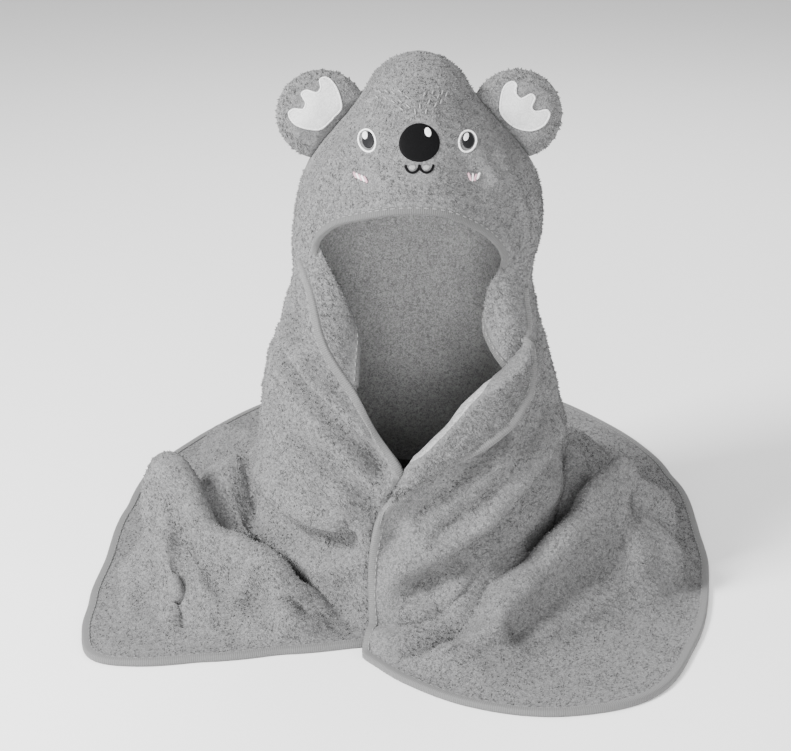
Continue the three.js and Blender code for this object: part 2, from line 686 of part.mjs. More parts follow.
// The object stands on the floor over the middle of its outline.
object.updateMatrixWorld(true);
const box = new THREE.Box3().setFromObject(object, true);
object.position.set(-(box.min.x + box.max.x) / 2, -(box.min.y + box.max.y) / 2, -box.min.z);

export default object;
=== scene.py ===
import bpy
import numpy as np
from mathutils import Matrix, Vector


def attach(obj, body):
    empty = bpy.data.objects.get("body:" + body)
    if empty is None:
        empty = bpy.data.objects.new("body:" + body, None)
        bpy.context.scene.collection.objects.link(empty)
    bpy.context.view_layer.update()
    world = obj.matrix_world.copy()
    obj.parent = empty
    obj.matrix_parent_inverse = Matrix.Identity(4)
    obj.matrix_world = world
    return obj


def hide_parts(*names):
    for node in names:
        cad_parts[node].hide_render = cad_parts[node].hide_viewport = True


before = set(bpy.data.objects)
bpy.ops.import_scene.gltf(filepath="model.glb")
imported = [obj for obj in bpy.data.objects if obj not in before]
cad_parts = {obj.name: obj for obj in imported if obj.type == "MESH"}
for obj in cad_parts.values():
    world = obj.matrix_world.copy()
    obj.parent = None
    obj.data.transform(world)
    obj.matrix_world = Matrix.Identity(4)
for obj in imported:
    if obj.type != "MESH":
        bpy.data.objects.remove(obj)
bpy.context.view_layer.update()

# ---- floor, light and camera ----
# A plain pale floor and surround under soft studio light: a large lamp high on the left in front,
# weaker ones on the right and straight in front, and one behind that lights the edges of the cloth.


def aim(thing, target):
    """Turns a lamp or camera so that its -Z axis runs from its place to the target point."""
    thing.rotation_euler = (Vector(target) - thing.location).to_track_quat("-Z", "Y").to_euler()


def lamp(name, place, size, power):
    """A square soft lamp of that size in metres and power in watts, aimed at the wearer's chest."""
    data = bpy.data.lights.new(name, "AREA")
    data.shape = "SQUARE"
    data.size = size
    data.energy = power
    thing = bpy.data.objects.new(name, data)
    bpy.context.scene.collection.objects.link(thing)
    thing.location = place
    aim(thing, (0.0, -0.12, 0.16))


lamp("key_light", (-1.4, -1.0, 1.4), 0.6, 120)
lamp("fill_light", (1.5, -1.3, 0.9), 1.2, 13)
lamp("front_light", (0.0, -2.4, 0.5), 0.9, 48)
lamp("back_light", (0.3, 1.3, 1.6), 1.0, 26)

world = bpy.data.worlds.new("surround")
bpy.context.scene.world = world
world.use_nodes = True
world.node_tree.nodes["Background"].inputs["Color"].default_value = (1.0, 1.0, 1.0, 1)
world.node_tree.nodes["Background"].inputs["Strength"].default_value = 0.62

floor_mesh = bpy.data.meshes.new("floor")
floor_mesh.from_pydata([(-6, -6, 0), (6, -6, 0), (6, 6, 0), (-6, 6, 0)], [], [(0, 1, 2, 3)])
floor = bpy.data.objects.new("floor", floor_mesh)
bpy.context.scene.collection.objects.link(floor)
floor_finish = bpy.data.materials.new("pale_floor")
floor_finish.use_nodes = True
floor_finish.node_tree.nodes["Principled BSDF"].inputs["Base Color"].default_value = (0.97, 0.97, 0.97, 1)
floor_finish.node_tree.nodes["Principled BSDF"].inputs["Roughness"].default_value = 0.9
floor_mesh.materials.append(floor_finish)

camera_data = bpy.data.cameras.new("camera")
camera_data.lens = 96.7
camera = bpy.data.objects.new("camera", camera_data)
bpy.context.scene.collection.objects.link(camera)
camera.location = (-0.0082, -1.7146, 0.7564)
aim(camera, (-0.0082, -0.1171, 0.175))
bpy.context.scene.camera = camera

# ---- towel ----
# One square of grey coral fleece, 813 mm on a side, wrapped round a sitting wearer. It hangs from
# the top of the head, crosses over itself on the chest and spreads on the floor over bent legs.
STAND = np.array([0.0034, -0.1171, 0.0])      # the middle of the wearer's body, in metres
CLOTH = 4.0                                   # thickness of the fleece with its pile, in millimetres
LEVEL_NAMES = ["z", "middle", "left", "right", "front_left", "front_right", "back", "edge_left", "edge_right"]
LEVELS = dict(zip(LEVEL_NAMES, np.array([
    [437, 6, 0, 0, 0, 0, 0, 93, 93],
    [425, 6, 28, 28, 26, 26, 29, 93, 93],
    [399, 6, 47, 47, 49, 49, 60, 93, 93],
    [350, 7, 86, 87, 80, 80, 92, 93, 93],
    [305, 6, 97, 97, 90, 90, 104, 88, 92],
    [262, 3, 94, 92, 90, 88, 103, 59, 70],
    [225, 1, 103, 102, 91, 90, 98, 41, 62],
    [190, 0, 113, 112, 89, 92, 98, 22, 49],
    [155, 0, 119, 120, 94, 103, 105, 10, 7],
    [125, 0, 123, 125, 98, 111, 113, 1, -6],
    [90, 0, 130, 122, 100, 116, 123, -4, -13],
    [56, 0, 122, 113, 106, 127, 142, -4, -14],
], float).T))
LAST_LEVEL = 11
WAIST_LEVEL = 9
HIP = 0.56                                    # share of the cloth's rows above the lap


def through(values, place):
    """A Catmull-Rom curve through the values of evenly spaced stations, read at each place."""
    values = np.asarray(values, float)
    last = len(values) - 1
    at = np.clip(place, 0, last)
    cell = np.minimum(np.floor(at), last - 1).astype(int)
    part = at - cell
    before, start = values[np.maximum(cell - 1, 0)], values[cell]
    end, after = values[cell + 1], values[np.minimum(cell + 2, last)]
    return ((2 * part**3 - 3 * part**2 + 1) * start + (part**3 - 2 * part**2 + part) * (end - before) / 2
            + (3 * part**2 - 2 * part**3) * end + (part**3 - part**2) * (after - start) / 2)


def smooth(low, high, value):
    """0 below low, 1 above high, and a smooth cubic step between them."""
    share = np.clip((value - low) / (high - low), 0, 1)
    return share * share * (3 - 2 * share)


def height_at(level):
    """The height of a level. From the hood's round tip down to the second section it falls with the
    square of the level."""
    top, second = LEVELS["z"][:2]
    return np.where(level < 1, top - (top - second) * level**2, through(LEVELS["z"], level))


def body_point(level, theta):
    """An ellipse at each level: x is its middle less its half width times sin theta, y is less its
    depth times cos theta. Past the back, theta goes on to the right flap, which has its own depth."""
    side, ahead = np.sin(np.radians(theta)), np.cos(np.radians(theta))
    on_right = (theta > 180) | (theta < -20)
    front = np.where(on_right, through(LEVELS["front_right"], level), through(LEVELS["front_left"], level))
    width = np.where(side > 0, through(LEVELS["left"], level), through(LEVELS["right"], level))
    depth = np.where(ahead > 0, front, through(LEVELS["back"], level))
    return np.stack([through(LEVELS["middle"], level) - width * side, -depth * ahead, height_at(level)], -1)


# Legs and folds that lift the cloth off the floor: two ends in x, y and height, and a half width.
RIDGES = [
    [(-60, 60, 88), (-188, -22, 80), 44],     # left thigh
    [(-188, -22, 76), (-95, -98, 34), 34],    # left shin
    [(60, 60, 88), (176, -20, 80), 44],       # right thigh
    [(176, -20, 76), (62, -108, 50), 34],     # right shin
    [(-30, -74, 40), (40, -92, 44), 26],      # feet
    [(0, 50, 62), (0, 90, 58), 96],           # seat
    [(-95, 125, 66), (-176, 205, 50), 30],    # fold behind the left thigh
    [(95, 130, 58), (155, 240, 30), 30],      # fold behind the right thigh
    [(-20, 150, 50), (-60, 330, 16), 30],     # folds of the train
    [(50, 160, 46), (70, 320, 14), 30],
    [(-200, 0, 52), (-196, -110, 10), 16],    # folds that fall from the left knee
    [(-222, 10, 34), (-222, -95, 8), 16],
    [(-175, -60, 40), (-150, -122, 8), 14],
    [(-120, -80, 26), (-105, -112, 8), 12],
    [(200, 0, 50), (222, -60, 12), 16],       # folds that fall from the right knee
    [(224, 20, 32), (244, -20, 10), 16],
    [(-140, 10, 80), (-112, -34, 42), 22],    # rolls in the hollow beside the waist
    [(128, 16, 82), (150, -30, 46), 22],
]
RIDGE_FOOT = 0.05


def lap_height(x, y):
    """The cube root of the sum of the cubes of all ridges, each a bell across its line."""
    total = np.zeros_like(x)
    for (ax, ay, ah), (bx, by, bh), spread in RIDGES:
        length = (bx - ax) ** 2 + (by - ay) ** 2
        share = np.clip(((x - ax) * (bx - ax) + (y - ay) * (by - ay)) / length, 0, 1)
        away = np.hypot(x - ax - share * (bx - ax), y - ay - share * (by - ay))
        rise = np.maximum(0, np.exp(-((away / spread) ** 2)) - RIDGE_FOOT) / (1 - RIDGE_FOOT)
        total += ((ah + share * (bh - ah)) * rise) ** 3
    return np.cbrt(total)


HEM = np.array([
    [-5, 130], [16, 136], [35, 174], [46, 223], [53, 268], [58, 286], [66, 278], [76, 263],
    [96, 254], [118, 280], [132, 319], [147, 362], [165, 432], [180, 476], [190, 462],
    [199, 430], [209, 389], [219, 352], [230, 313], [250, 265], [267, 248], [282, 244],
    [302, 255], [321, 276], [336, 262], [348, 232], [362, 187], [374, 153],
], float)

# The line that the right flap's turned-back edge reaches, from the hood seam down, by level.
LAPEL_LEVELS = np.array([6, 6.5, 7, 7.5, 8, 8.5, 9, 9.5, 10])
LAPEL = np.array([
    [91, -44, 225], [93, -56, 206], [93, -68, 186], [80, -90, 169], [58, -103, 154],
    [29, -111, 143], [5, -114, 130], [-18, -116, 113], [-27, -115, 90],
], float)
ROLL_RIGHT = LEVELS["edge_right"].copy()
ROLL_RIGHT[7] = 28                            # the flap rolls over here, short of its edge


def towel_point(along, down):
    """Rows of body ellipses from the head to the waist, then straight lines from the hip ellipse to
    the hem with the lap's height under them. along is 0 at the left flap's edge, 1 at the roll of
    the right flap, and over 1 on the turned-back part beyond it."""
    level = np.minimum(down / HIP, 1) * LAST_LEVEL
    start = through(LEVELS["edge_left"], level)
    end = 360 - through(ROLL_RIGHT, level)
    hip_theta = start + (end - start) * np.minimum(along, 1)
    point = body_point(level, hip_theta)
    hip = body_point(np.full_like(level, LAST_LEVEL), hip_theta)
    lift = 11 * smooth(325, 350, hip_theta)
    lap = lap_height(hip[..., 0], hip[..., 1]) + CLOTH + lift
    point[..., 2] += (lap - LEVELS["z"][LAST_LEVEL]) * smooth(WAIST_LEVEL, LAST_LEVEL, level)
    share = np.clip((down - HIP) / (1 - HIP), 0, 1)
    hem_theta = HEM[0, 0] + (HEM[-1, 0] - HEM[0, 0]) * (hip_theta - start) / (end - start)
    place = np.interp(hem_theta, HEM[:, 0], np.arange(len(HEM)))
    reach = through(HEM[:, 1], place)
    x = hip[..., 0] + (-reach * np.sin(np.radians(hem_theta)) - hip[..., 0]) * share
    y = hip[..., 1] + (-reach * np.cos(np.radians(hem_theta)) - hip[..., 1]) * share
    lie = 1 - smooth(0.6, 0.97, share)
    z = (lap_height(x, y) + lift * (1 - smooth(0.35, 1, share))) * lie + CLOTH
    skirt = np.stack([x, y, z], -1)
    point = np.where((down > HIP)[..., None], skirt, point)
    over = np.clip(along - 1, 0, None)
    turned = over / np.maximum(lapel_share(down), 1e-6)
    edge = np.stack([np.interp(level, LAPEL_LEVELS, LAPEL[:, axis]) for axis in range(3)], -1)
    roll = 8 * np.sqrt(1 - (1 - np.minimum(turned / 0.3, 1)) ** 2) * (1 - smooth(0.4, 1, turned))
    lapel = point + (edge - point) * turned[..., None] + roll[..., None] * np.array([0.2, -0.97, 0.15])
    return np.where((over > 0)[..., None], lapel, point)


def lapel_share(down):
    """How much cloth is turned back beyond the roll, as a share of the row's length."""
    level = down / HIP * LAST_LEVEL
    return 0.066 * smooth(6.0, 7.0, level) * (1 - smooth(8.2, 9.9, level))


def cloth_normals(points, inside_out=False):
    """Unit normals of a grid of points, from the cross product of its two directions."""
    normal = np.cross(np.gradient(points, axis=1), np.gradient(points, axis=0))
    normal /= np.maximum(np.linalg.norm(normal, axis=-1, keepdims=True), 1e-9)
    return -normal if inside_out else normal


def ripple(points, seed, count, longest, shortest, height):
    """Soft uneven waves: a sum of plane waves in random directions, each of random length."""
    draw = np.random.default_rng(seed)
    total = np.zeros(points.shape[:-1])
    for _ in range(count):
        way = draw.normal(size=3)
        way /= np.linalg.norm(way)
        length = shortest * (longest / shortest) ** draw.random()
        total += np.sin(points @ way * (2 * np.pi / length) + draw.random() * 2 * np.pi)
    return total * height / np.sqrt(count / 2)


def puckers(points, seed, count, longest, shortest, height):
    """Pillows between narrow creases: a sum of rectified sine waves, each bent by another wave."""
    draw = np.random.default_rng(seed)
    total = np.zeros(points.shape[:-1])
    for _ in range(count):
        way, bend = unit(draw.normal(size=(2, 3)) * np.array([1.0, 1.0, 0.55]))
        length = shortest * (longest / shortest) ** draw.random()
        sway = 1.1 * np.sin(points @ bend * (2 * np.pi / 140))
        phase = points @ way * (np.pi / length) + sway + draw.random() * 9
        total += np.sqrt(np.sin(phase) ** 2 + 0.01) - 0.64
    return total * height / np.sqrt(count / 2)


def unit(rows):
    """Each row at length 1."""
    return rows / np.maximum(np.linalg.norm(rows, axis=-1, keepdims=True), 1e-9)


# Folds of the wrapped front, seen from the front: height (less than 0 is a crease), half width, and
# the line's points in x and z.
FRONT_FOLDS = [
    (-11, 6, [(-112, 222), (-99, 210), (-72, 183), (-45, 157), (-23, 132)]),
    (8, 12, [(-94, 224), (-62, 192), (-36, 164)]),
    (-6, 6, [(-104, 176), (-84, 150), (-50, 128), (-28, 104)]),
    (-5, 6, [(-112, 140), (-78, 112), (-44, 92)]),
    (6, 20, [(-108, 160), (-64, 116)]),
    (-12, 8, [(-118, 84), (-95, 66), (-70, 66), (-50, 72)]),
    (7, 16, [(-100, 98), (-58, 88)]),
    (4, 12, [(-70, 250), (-60, 204)]),
    (-4, 5, [(-88, 262), (-80, 226)]),
    (-7, 7, [(112, 168), (84, 138), (52, 108), (20, 86)]),
    (-9, 8, [(118, 122), (84, 92), (34, 62), (0, 44)]),
    (7, 16, [(98, 150), (50, 96), (4, 66)]),
    (-6, 6, [(110, 204), (96, 172), (84, 150)]),
    (5, 10, [(100, 226), (98, 186)]),
    (-5, 6, [(70, 160), (40, 128), (8, 104)]),
    (-3, 8, [(-24, 92), (8, 62), (24, 34)]),
]
# Folds of the lap and of the cloth behind, seen from above: the same with points in x and y.
LAP_FOLDS = [
    (-10, 8, [(-204, -30), (-168, -70), (-125, -98), (-84, -114)]),
    (6, 11, [(-192, -22), (-160, -56), (-120, -82), (-86, -96)]),
    (7, 11, [(-212, 0), (-192, -50), (-174, -118)]),
    (-6, 8, [(-222, 0), (-206, -56), (-198, -112)]),
    (6, 8, [(-236, 0), (-231, -58), (-219, -103)]),
    (-4, 6, [(-192, -44), (-176, -74), (-160, -118)]),
    (5, 12, [(-170, 24), (-150, -12), (-134, -40)]),
    (-5, 9, [(-188, 20), (-162, -16), (-146, -46)]),
    (-6, 8, [(-142, 20), (-126, -20)]),
    (-8, 6, [(-124, -102), (-108, -130)]),
    (7, 10, [(-104, -104), (-84, -130)]),
    (-6, 9, [(-112, -50), (-84, -94), (-52, -124)]),
    (-11, 9, [(132, -28), (120, -44), (84, -92), (45, -134), (10, -156), (-12, -162)]),
    (7, 12, [(150, -40), (104, -98), (64, -142), (26, -168)]),
    (7, 10, [(196, 8), (152, -39), (104, -84)]),
    (-10, 7, [(206, -16), (160, -60), (112, -104), (80, -140)]),
    (-7, 7, [(184, 4), (186, -36)]),
    (7, 8, [(202, 10), (208, -46)]),
    (7, 8, [(236, 50), (242, 0)]),
    (-6, 6, [(218, 30), (226, -26)]),
    (5, 12, [(146, 24), (124, -9)]),
    (-5, 9, [(166, 34), (142, -14)]),
    (-8, 9, [(-60, 150), (-84, 240), (-96, 330)]),
    (-8, 9, [(40, 160), (70, 240), (84, 330)]),
    (-6, 9, [(-8, 140), (0, 250), (-10, 390)]),
    (-8, 8, [(112, 110), (160, 150), (200, 190)]),
    (-8, 8, [(-120, 110), (-168, 150), (-214, 180)]),
    (7, 14, [(-100, 130), (-150, 220), (-180, 270)]),
    (7, 14, [(80, 140), (120, 220), (150, 270)]),
]


def fold_height(flat, folds):
    """How far the cloth stands out at points of a plane: across its line a ridge is a bell, and a
    crease is a narrow cusp between two low shoulders."""
    total = np.zeros(flat.shape[:-1])
    for height, spread, line in folds:
        away = np.full(total.shape, np.inf)
        for start, end in zip(np.array(line[:-1], float), np.array(line[1:], float)):
            way = end - start
            share = np.clip((flat - start) @ way / (way @ way), 0, 1)
            away = np.minimum(away, np.linalg.norm(flat - start - share[..., None] * way, axis=-1))
        if height > 0:
            total += height * np.exp(-((away / spread) ** 2))
        else:
            cusp = np.exp(-(np.hypot(away, 2.5) - 2.5) / spread)
            total += height * (cusp - 0.45 * np.exp(-(((away - 2.2 * spread) / (1.2 * spread)) ** 2)))
    return total


def add_mesh(name, vertices, faces, uv=None):
    """An object from vertices in millimetres and faces; uv gives each vertex two pattern lengths."""
    mesh = bpy.data.meshes.new(name)
    mesh.from_pydata((vertices / 1000 + STAND).tolist(), [], faces)
    mesh.shade_smooth()
    if uv is not None:
        corner = np.empty(len(mesh.loops), np.int32)
        mesh.loops.foreach_get("vertex_index", corner)
        layer = mesh.uv_layers.new(name="pattern")
        layer.uv.foreach_set("vector", uv[corner].astype(np.float32).ravel())
    thing = bpy.data.objects.new(name, mesh)
    bpy.context.scene.collection.objects.link(thing)
    return thing


def add_cloth(name, points, finishes, inside_out=False, painted_light_inside=None):
    """A cloth object from a grid of points in millimetres, whose first row is one point. It stands
    on the body's place, and its thickness goes inwards. finishes are the outer face's and the inner
    face's, which only the cells marked in painted_light_inside have."""
    rows, columns = points.shape[:2]
    vertices = np.concatenate([points[0, :1], points[1:].reshape(-1, 3)])
    grid = 1 + np.arange((rows - 1) * columns).reshape(rows - 1, columns)
    fan = np.stack([np.zeros(columns - 1, int), grid[0, 1:], grid[0, :-1]], -1)
    quads = np.stack([grid[:-1, :-1], grid[:-1, 1:], grid[1:, 1:], grid[1:, :-1]], -1).reshape(-1, 4)
    if inside_out:
        fan, quads = fan[:, ::-1], quads[:, ::-1]
    thing = add_mesh(name, vertices, fan.tolist() + quads.tolist())
    wall = thing.modifiers.new("thickness", "SOLIDIFY")
    wall.thickness = CLOTH / 1000
    wall.offset = -1
    wall.material_offset = 1
    for finish in (*finishes, finishes[0], finishes[0]):
        thing.data.materials.append(finish)
    if painted_light_inside is not None:
        thing.data.polygons.foreach_set("material_index", np.where(painted_light_inside.ravel(), 0, 2).astype(np.int32))
    return thing


def tufts(name, grid, normals, count, seed, keep):
    """The pile: three-sided spikes with closed bases at random spots, spread evenly over the kept
    cells by their area. Each is of a random size and leans at random."""
    draw = np.random.default_rng(seed)
    across, along = grid[:-1, 1:] - grid[:-1, :-1], grid[1:, :-1] - grid[:-1, :-1]
    area = (np.linalg.norm(np.cross(across, along), axis=-1) * keep[:-1, :-1]).ravel()
    row, column = np.divmod(draw.choice(area.size, count, p=area / area.sum()), grid.shape[1] - 1)
    u, v = draw.random((2, count, 1))

    def mixed(values):
        first = values[row, column] * (1 - u) + values[row, column + 1] * u
        return first * (1 - v) + (values[row + 1, column] * (1 - u) + values[row + 1, column + 1] * u) * v

    root, up = mixed(grid), unit(mixed(normals))
    side = unit(np.cross(up, draw.normal(size=(count, 3))))
    size = draw.uniform(0.6, 1.3, (count, 1, 1))
    turn = np.arange(3) * 2 * np.pi / 3
    ring = (side[:, None] * np.cos(turn)[:, None] + np.cross(up, side)[:, None] * np.sin(turn)[:, None])
    base = (root - up * TUFT_ROOT)[:, None] + ring * TUFT_RADIUS * size
    lean = unit(up + 0.6 * draw.normal(size=(count, 3)) * np.array([1, 1, 0.7]) - np.array([0, 0, 0.25]))
    tip = root[:, None] + lean[:, None] * TUFT_LENGTH * size
    corners = np.concatenate([base, tip], 1)
    corners[..., 2] = np.maximum(corners[..., 2], 0.3)
    faces = np.arange(count)[:, None, None] * 4 + np.array([[0, 2, 1], [0, 1, 3], [1, 2, 3], [2, 0, 3]])
    thing = add_mesh(name, corners.reshape(-1, 3), faces.reshape(-1, 3).tolist())
    thing.data.materials.append(fleece)
    return thing


TOWEL_COLUMNS, TOWEL_UPPER, TOWEL_SKIRT = 260, 96, 66
towel_rows = np.concatenate([np.linspace(0, 1, TOWEL_UPPER + 1) ** 1.2 * HIP,
                             HIP + (1 - HIP) * np.linspace(0, 1, TOWEL_SKIRT + 1)[1:]])
row_share = np.linspace(0, 1, TOWEL_COLUMNS + 1)[None, :]
towel_down = np.repeat(towel_rows[:, None], TOWEL_COLUMNS + 1, 1)
towel_along = row_share * (1 + lapel_share(towel_down))
towel_grid = towel_point(towel_along, towel_down)
free = smooth(0.05, 0.3, towel_down)          # the top of the hood is smooth
on_front = smooth(-15, -45, towel_grid[..., 1]) * (1 - smooth(150, 175, -towel_grid[..., 1]))
on_lap = smooth(0.92, 1.0, towel_down / HIP)
towel_lift = (1.3 * fold_height(towel_grid[..., [0, 2]], FRONT_FOLDS) * on_front
              + fold_height(towel_grid[..., :2], LAP_FOLDS) * on_lap
              + puckers(towel_grid, 8, 9, 75, 26, 2.2) * free + ripple(towel_grid, 3, 40, 60, 20, 0.5) * free)
side_share = np.minimum(row_share, 1 - row_share)
sewn = (1 - smooth(0.0, 0.04, side_share)) * (1 - smooth(6.8, 7.6, towel_down / HIP * LAST_LEVEL))
towel_lift = towel_lift * (1 - sewn) * (1 - 0.7 * smooth(0.985, 1.02, towel_along))
off_floor = smooth(CLOTH, CLOTH + 14, towel_grid[..., 2])
towel_grid = towel_grid + cloth_normals(towel_grid) * (towel_lift * off_floor)[..., None]
towel_grid[..., 2] = np.maximum(towel_grid[..., 2], CLOTH)


def new_finish(name):
    """A material, with its nodes, its links and its shader."""
    material = bpy.data.materials.new(name)
    material.use_nodes = True
    nodes = material.node_tree.nodes
    return material, nodes, material.node_tree.links, nodes["Principled BSDF"]


def two_tones(nodes, links, amount, dark, light, low=0.0, high=1.0):
    """A colour that goes from dark to light while the amount goes from low to high."""
    ramp = nodes.new("ShaderNodeValToRGB")
    ramp.color_ramp.elements[0].position = low
    ramp.color_ramp.elements[1].position = high
    ramp.color_ramp.elements[0].color = (*dark, 1)
    ramp.color_ramp.elements[1].color = (*light, 1)
    links.new(amount, ramp.inputs["Fac"])
    return ramp.outputs["Color"]


def raise_by(nodes, links, amount, shader, strength, distance):
    """A bump of the amount on the shader, with its distance in metres."""
    bump = nodes.new("ShaderNodeBump")
    bump.inputs["Strength"].default_value = strength
    bump.inputs["Distance"].default_value = distance
    links.new(amount, bump.inputs["Height"])
    links.new(bump.outputs["Normal"], shader.inputs["Normal"])


def plush(name, colour, pile=1.0, contrast=1.0):
    """Short fleece: base colour mottled at the size of its tufts, darker between them as painted
    shade and lighter at their tips as painted light, a bump of the same tufts, and a soft sheen."""
    material, nodes, links, shader = new_finish(name)
    shader.inputs["Roughness"].default_value = 1.0
    shader.inputs["Specular IOR Level"].default_value = 0.1
    shader.inputs["Sheen Weight"].default_value = 0.15
    shader.inputs["Sheen Roughness"].default_value = 0.6
    place = nodes.new("ShaderNodeTexCoord").outputs["Object"]

    def noise(scale, detail, twist):
        texture = nodes.new("ShaderNodeTexNoise")
        texture.inputs["Scale"].default_value = scale
        texture.inputs["Detail"].default_value = detail
        texture.inputs["Distortion"].default_value = twist
        links.new(place, texture.inputs["Vector"])
        return texture.outputs["Fac"]

    tuft_noise = noise(540, 2.0, 1.6)
    # Painted shade and light of the pile: the tufts' own bump noise makes the colour darker in their hollows
    # and lighter at their tips.
    tuft_tone_and_shade = two_tones(nodes, links, tuft_noise, [c * (1 - 0.42 * contrast) for c in colour],
                       [min(c * (1 + 0.3 * contrast), 1) for c in colour], 0.38, 0.62)
    worn = two_tones(nodes, links, noise(38, 2.0, 0.3), [0.86] * 3, [1.0] * 3, 0.3, 0.7)
    shade = nodes.new("ShaderNodeMix")
    shade.data_type = "RGBA"
    shade.blend_type = "MULTIPLY"
    shade.inputs["Factor"].default_value = 1.0
    links.new(tuft_tone_and_shade, shade.inputs["A"])
    links.new(worn, shade.inputs["B"])
    links.new(shade.outputs["Result"], shader.inputs["Base Color"])
    raise_by(nodes, links, tuft_noise, shader, 0.62, 0.0016 * pile)
    return material


fleece = plush("grey_fleece", (0.145, 0.145, 0.146))
# The towel's inside is the same grey fleece as its outside, painted lighter: painted light for the inside of
# the hood and the wrap, which lies in shade.
inside_fleece_painted_light = plush("grey_fleece_inside_painted_light", (0.33, 0.33, 0.33))
PAINTED_LIGHT_FROM = 0.06                             # share of a row from its edge to the inner finish
painted_light_inside = (towel_down < HIP) * (side_share > PAINTED_LIGHT_FROM)
towel = add_cloth("towel", towel_grid, (fleece, inside_fleece_painted_light), painted_light_inside=painted_light_inside[:-1, :-1])
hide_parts("towel_sheet")
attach(towel, "towel")

TUFT_ROOT, TUFT_RADIUS, TUFT_LENGTH = 0.6, 1.05, 1.7
towel_normals = cloth_normals(towel_grid)
EAR_LOW, EAR_HIGH = 345, 415                  # heights between which the ears meet the hood


def beside_ears(grid):
    """Whether points of a grid are at the ears' height."""
    return (grid[..., 2] > EAR_LOW) * (grid[..., 2] < EAR_HIGH)


outside = (side_share > 0.009) * (towel_down > 0.03) * (towel_down < 0.985) * (towel_along < 0.97)
outside = outside * ~((side_share < 0.05) * beside_ears(towel_grid))
ahead_of_back = towel_grid[..., 1] < 60
towel_pile = [tufts("towel_pile_front", towel_grid, towel_normals, 49000, 21, outside * ahead_of_back),
              tufts("towel_pile_back", towel_grid, towel_normals, 49000, 22, outside * ~ahead_of_back),
              tufts("lapel_pile", towel_grid - towel_normals * CLOTH, -towel_normals, 3000, 23,
                    (towel_along > 1.008) * (side_share > 0.006))]
for pile in towel_pile:
    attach(pile, "towel")

# ---- hood panel ----
# A second layer of the same fleece over one corner of the towel, sewn along two edges. It makes the
# front of the hood, and its free edge frames the face and turns in at the cheeks.
RIM = np.array([
    [-41, -80, 192], [-40, -66, 208], [-40, -50, 227], [-50, -36, 248], [-67, -27, 271],
    [-75, -38, 294], [-60, -61, 317], [-28, -84, 331], [2, -89, 335], [31, -84, 330],
    [60, -64, 309], [73, -44, 283], [66, -29, 256], [56, -34, 232], [62, -46, 214],
    [74, -57, 200], [84, -61, 191],
], float)
MERGE_LEVEL = 7
SEAM_GAP = 0.4


def rim_point(across):
    """The free edge of the hood panel, from the left merge (-1) over the forehead to the right (1)."""
    place = (across + 1) / 2 * (len(RIM) - 1)
    return np.stack([through(RIM[:, axis], place) for axis in range(3)], -1)


FINE_LEVELS = np.linspace(0, LAST_LEVEL, 2001)
FINE_HEIGHTS = height_at(FINE_LEVELS)


def level_at(height):
    """The level of the body whose height is given."""
    return np.interp(-height, -FINE_HEIGHTS, FINE_LEVELS)


def seam_theta(level, across):
    """How far round the panel reaches at a level: up to the towel's edge, less the seam's gap."""
    edge = np.where(across < 0, through(LEVELS["edge_left"], level), through(LEVELS["edge_right"], level))
    inset = np.degrees(SEAM_GAP / np.maximum(through(LEVELS["left"], level), 30))
    return (edge - inset) * -across


def panel_point(across, down):
    """The body's front from the hood tip down to the level of the rim, drawn to the rim by the cube
    of the way down."""
    end = rim_point(across)
    end_level = np.minimum(level_at(end[..., 2]), MERGE_LEVEL)
    offset = end - body_point(end_level, seam_theta(end_level, across))
    level = end_level * down
    point = body_point(level, seam_theta(level, across))
    return point + offset * down[..., None] ** 3


# Soft folds of the hood: two ends in x and z, height and half width.
HOOD_FOLDS = [
    [(-52, 372), (-84, 312), 2.6, 5],
    [(-40, 380), (-66, 356), 2.0, 5],
    [(66, 372), (92, 306), 3.0, 5],
    [(84, 352), (98, 296), -2.4, 5],
    [(46, 372), (72, 340), 2.2, 5],
    [(30, 372), (64, 352), -1.6, 4],
]


def hood_folds(points):
    """How far the hood's front stands out at each fold: a bell across the fold's line."""
    total = np.zeros(points.shape[:-1])
    for (ax, az), (bx, bz), height, spread in HOOD_FOLDS:
        x, z = points[..., 0], points[..., 2]
        length = (bx - ax) ** 2 + (bz - az) ** 2
        share = np.clip(((x - ax) * (bx - ax) + (z - az) * (bz - az)) / length, 0, 1)
        away = np.hypot(x - ax - share * (bx - ax), z - az - share * (bz - az))
        total += height * np.exp(-((away / spread) ** 2)) * np.sin(np.pi * share) ** 0.5
    return total


PANEL_COLUMNS, PANEL_ROWS = 200, 90


def panel_surface(across, down):
    """The panel with its folds, at any grid of places that covers it."""
    points = panel_point(across, down)
    away_from_rim = 1 - smooth(0.86, 1.0, down)
    away_from_seams = smooth(0.1, 0.3, down) * smooth(0.0, 0.12, 1 - np.abs(across))
    uneven = ripple(points, 5, 30, 70, 30, 0.5) * away_from_seams
    lift = (hood_folds(points) + uneven) * away_from_rim
    return points + cloth_normals(points, True) * lift[..., None]


panel_across = np.linspace(-1, 1, PANEL_COLUMNS + 1)[None, :].repeat(PANEL_ROWS + 1, 0)
panel_down = np.linspace(0, 1, PANEL_ROWS + 1)[:, None].repeat(PANEL_COLUMNS + 1, 1)
panel_grid = panel_surface(panel_across, panel_down)
hood = add_cloth("hood", panel_grid, (fleece, fleece), inside_out=True)
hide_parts("hood_panel")
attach(hood, "towel")

panel_normals = cloth_normals(panel_grid, True)
# Tufts are kept off round spots of the face and cheeks: the middle in x and z, and the reach from it.
BARE = [(6, 381, 17), (6, 364, 11), (-32.5, 379, 9), (42, 379, 9), (-31, 355, 8), (53, 355, 8)]
hood_kept = (panel_down > 0.03) * (panel_down < 0.955) * (np.abs(panel_across) < 0.985)
hood_kept = hood_kept * ((np.abs(panel_across) < 0.9) | ~beside_ears(panel_grid))
for x, z, reach in BARE:
    hood_kept = hood_kept * (np.hypot(panel_grid[..., 0] - x, panel_grid[..., 2] - z) > reach)
hood_pile = tufts("hood_pile", panel_grid, panel_normals, 9000, 24, hood_kept)
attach(hood_pile, "towel")

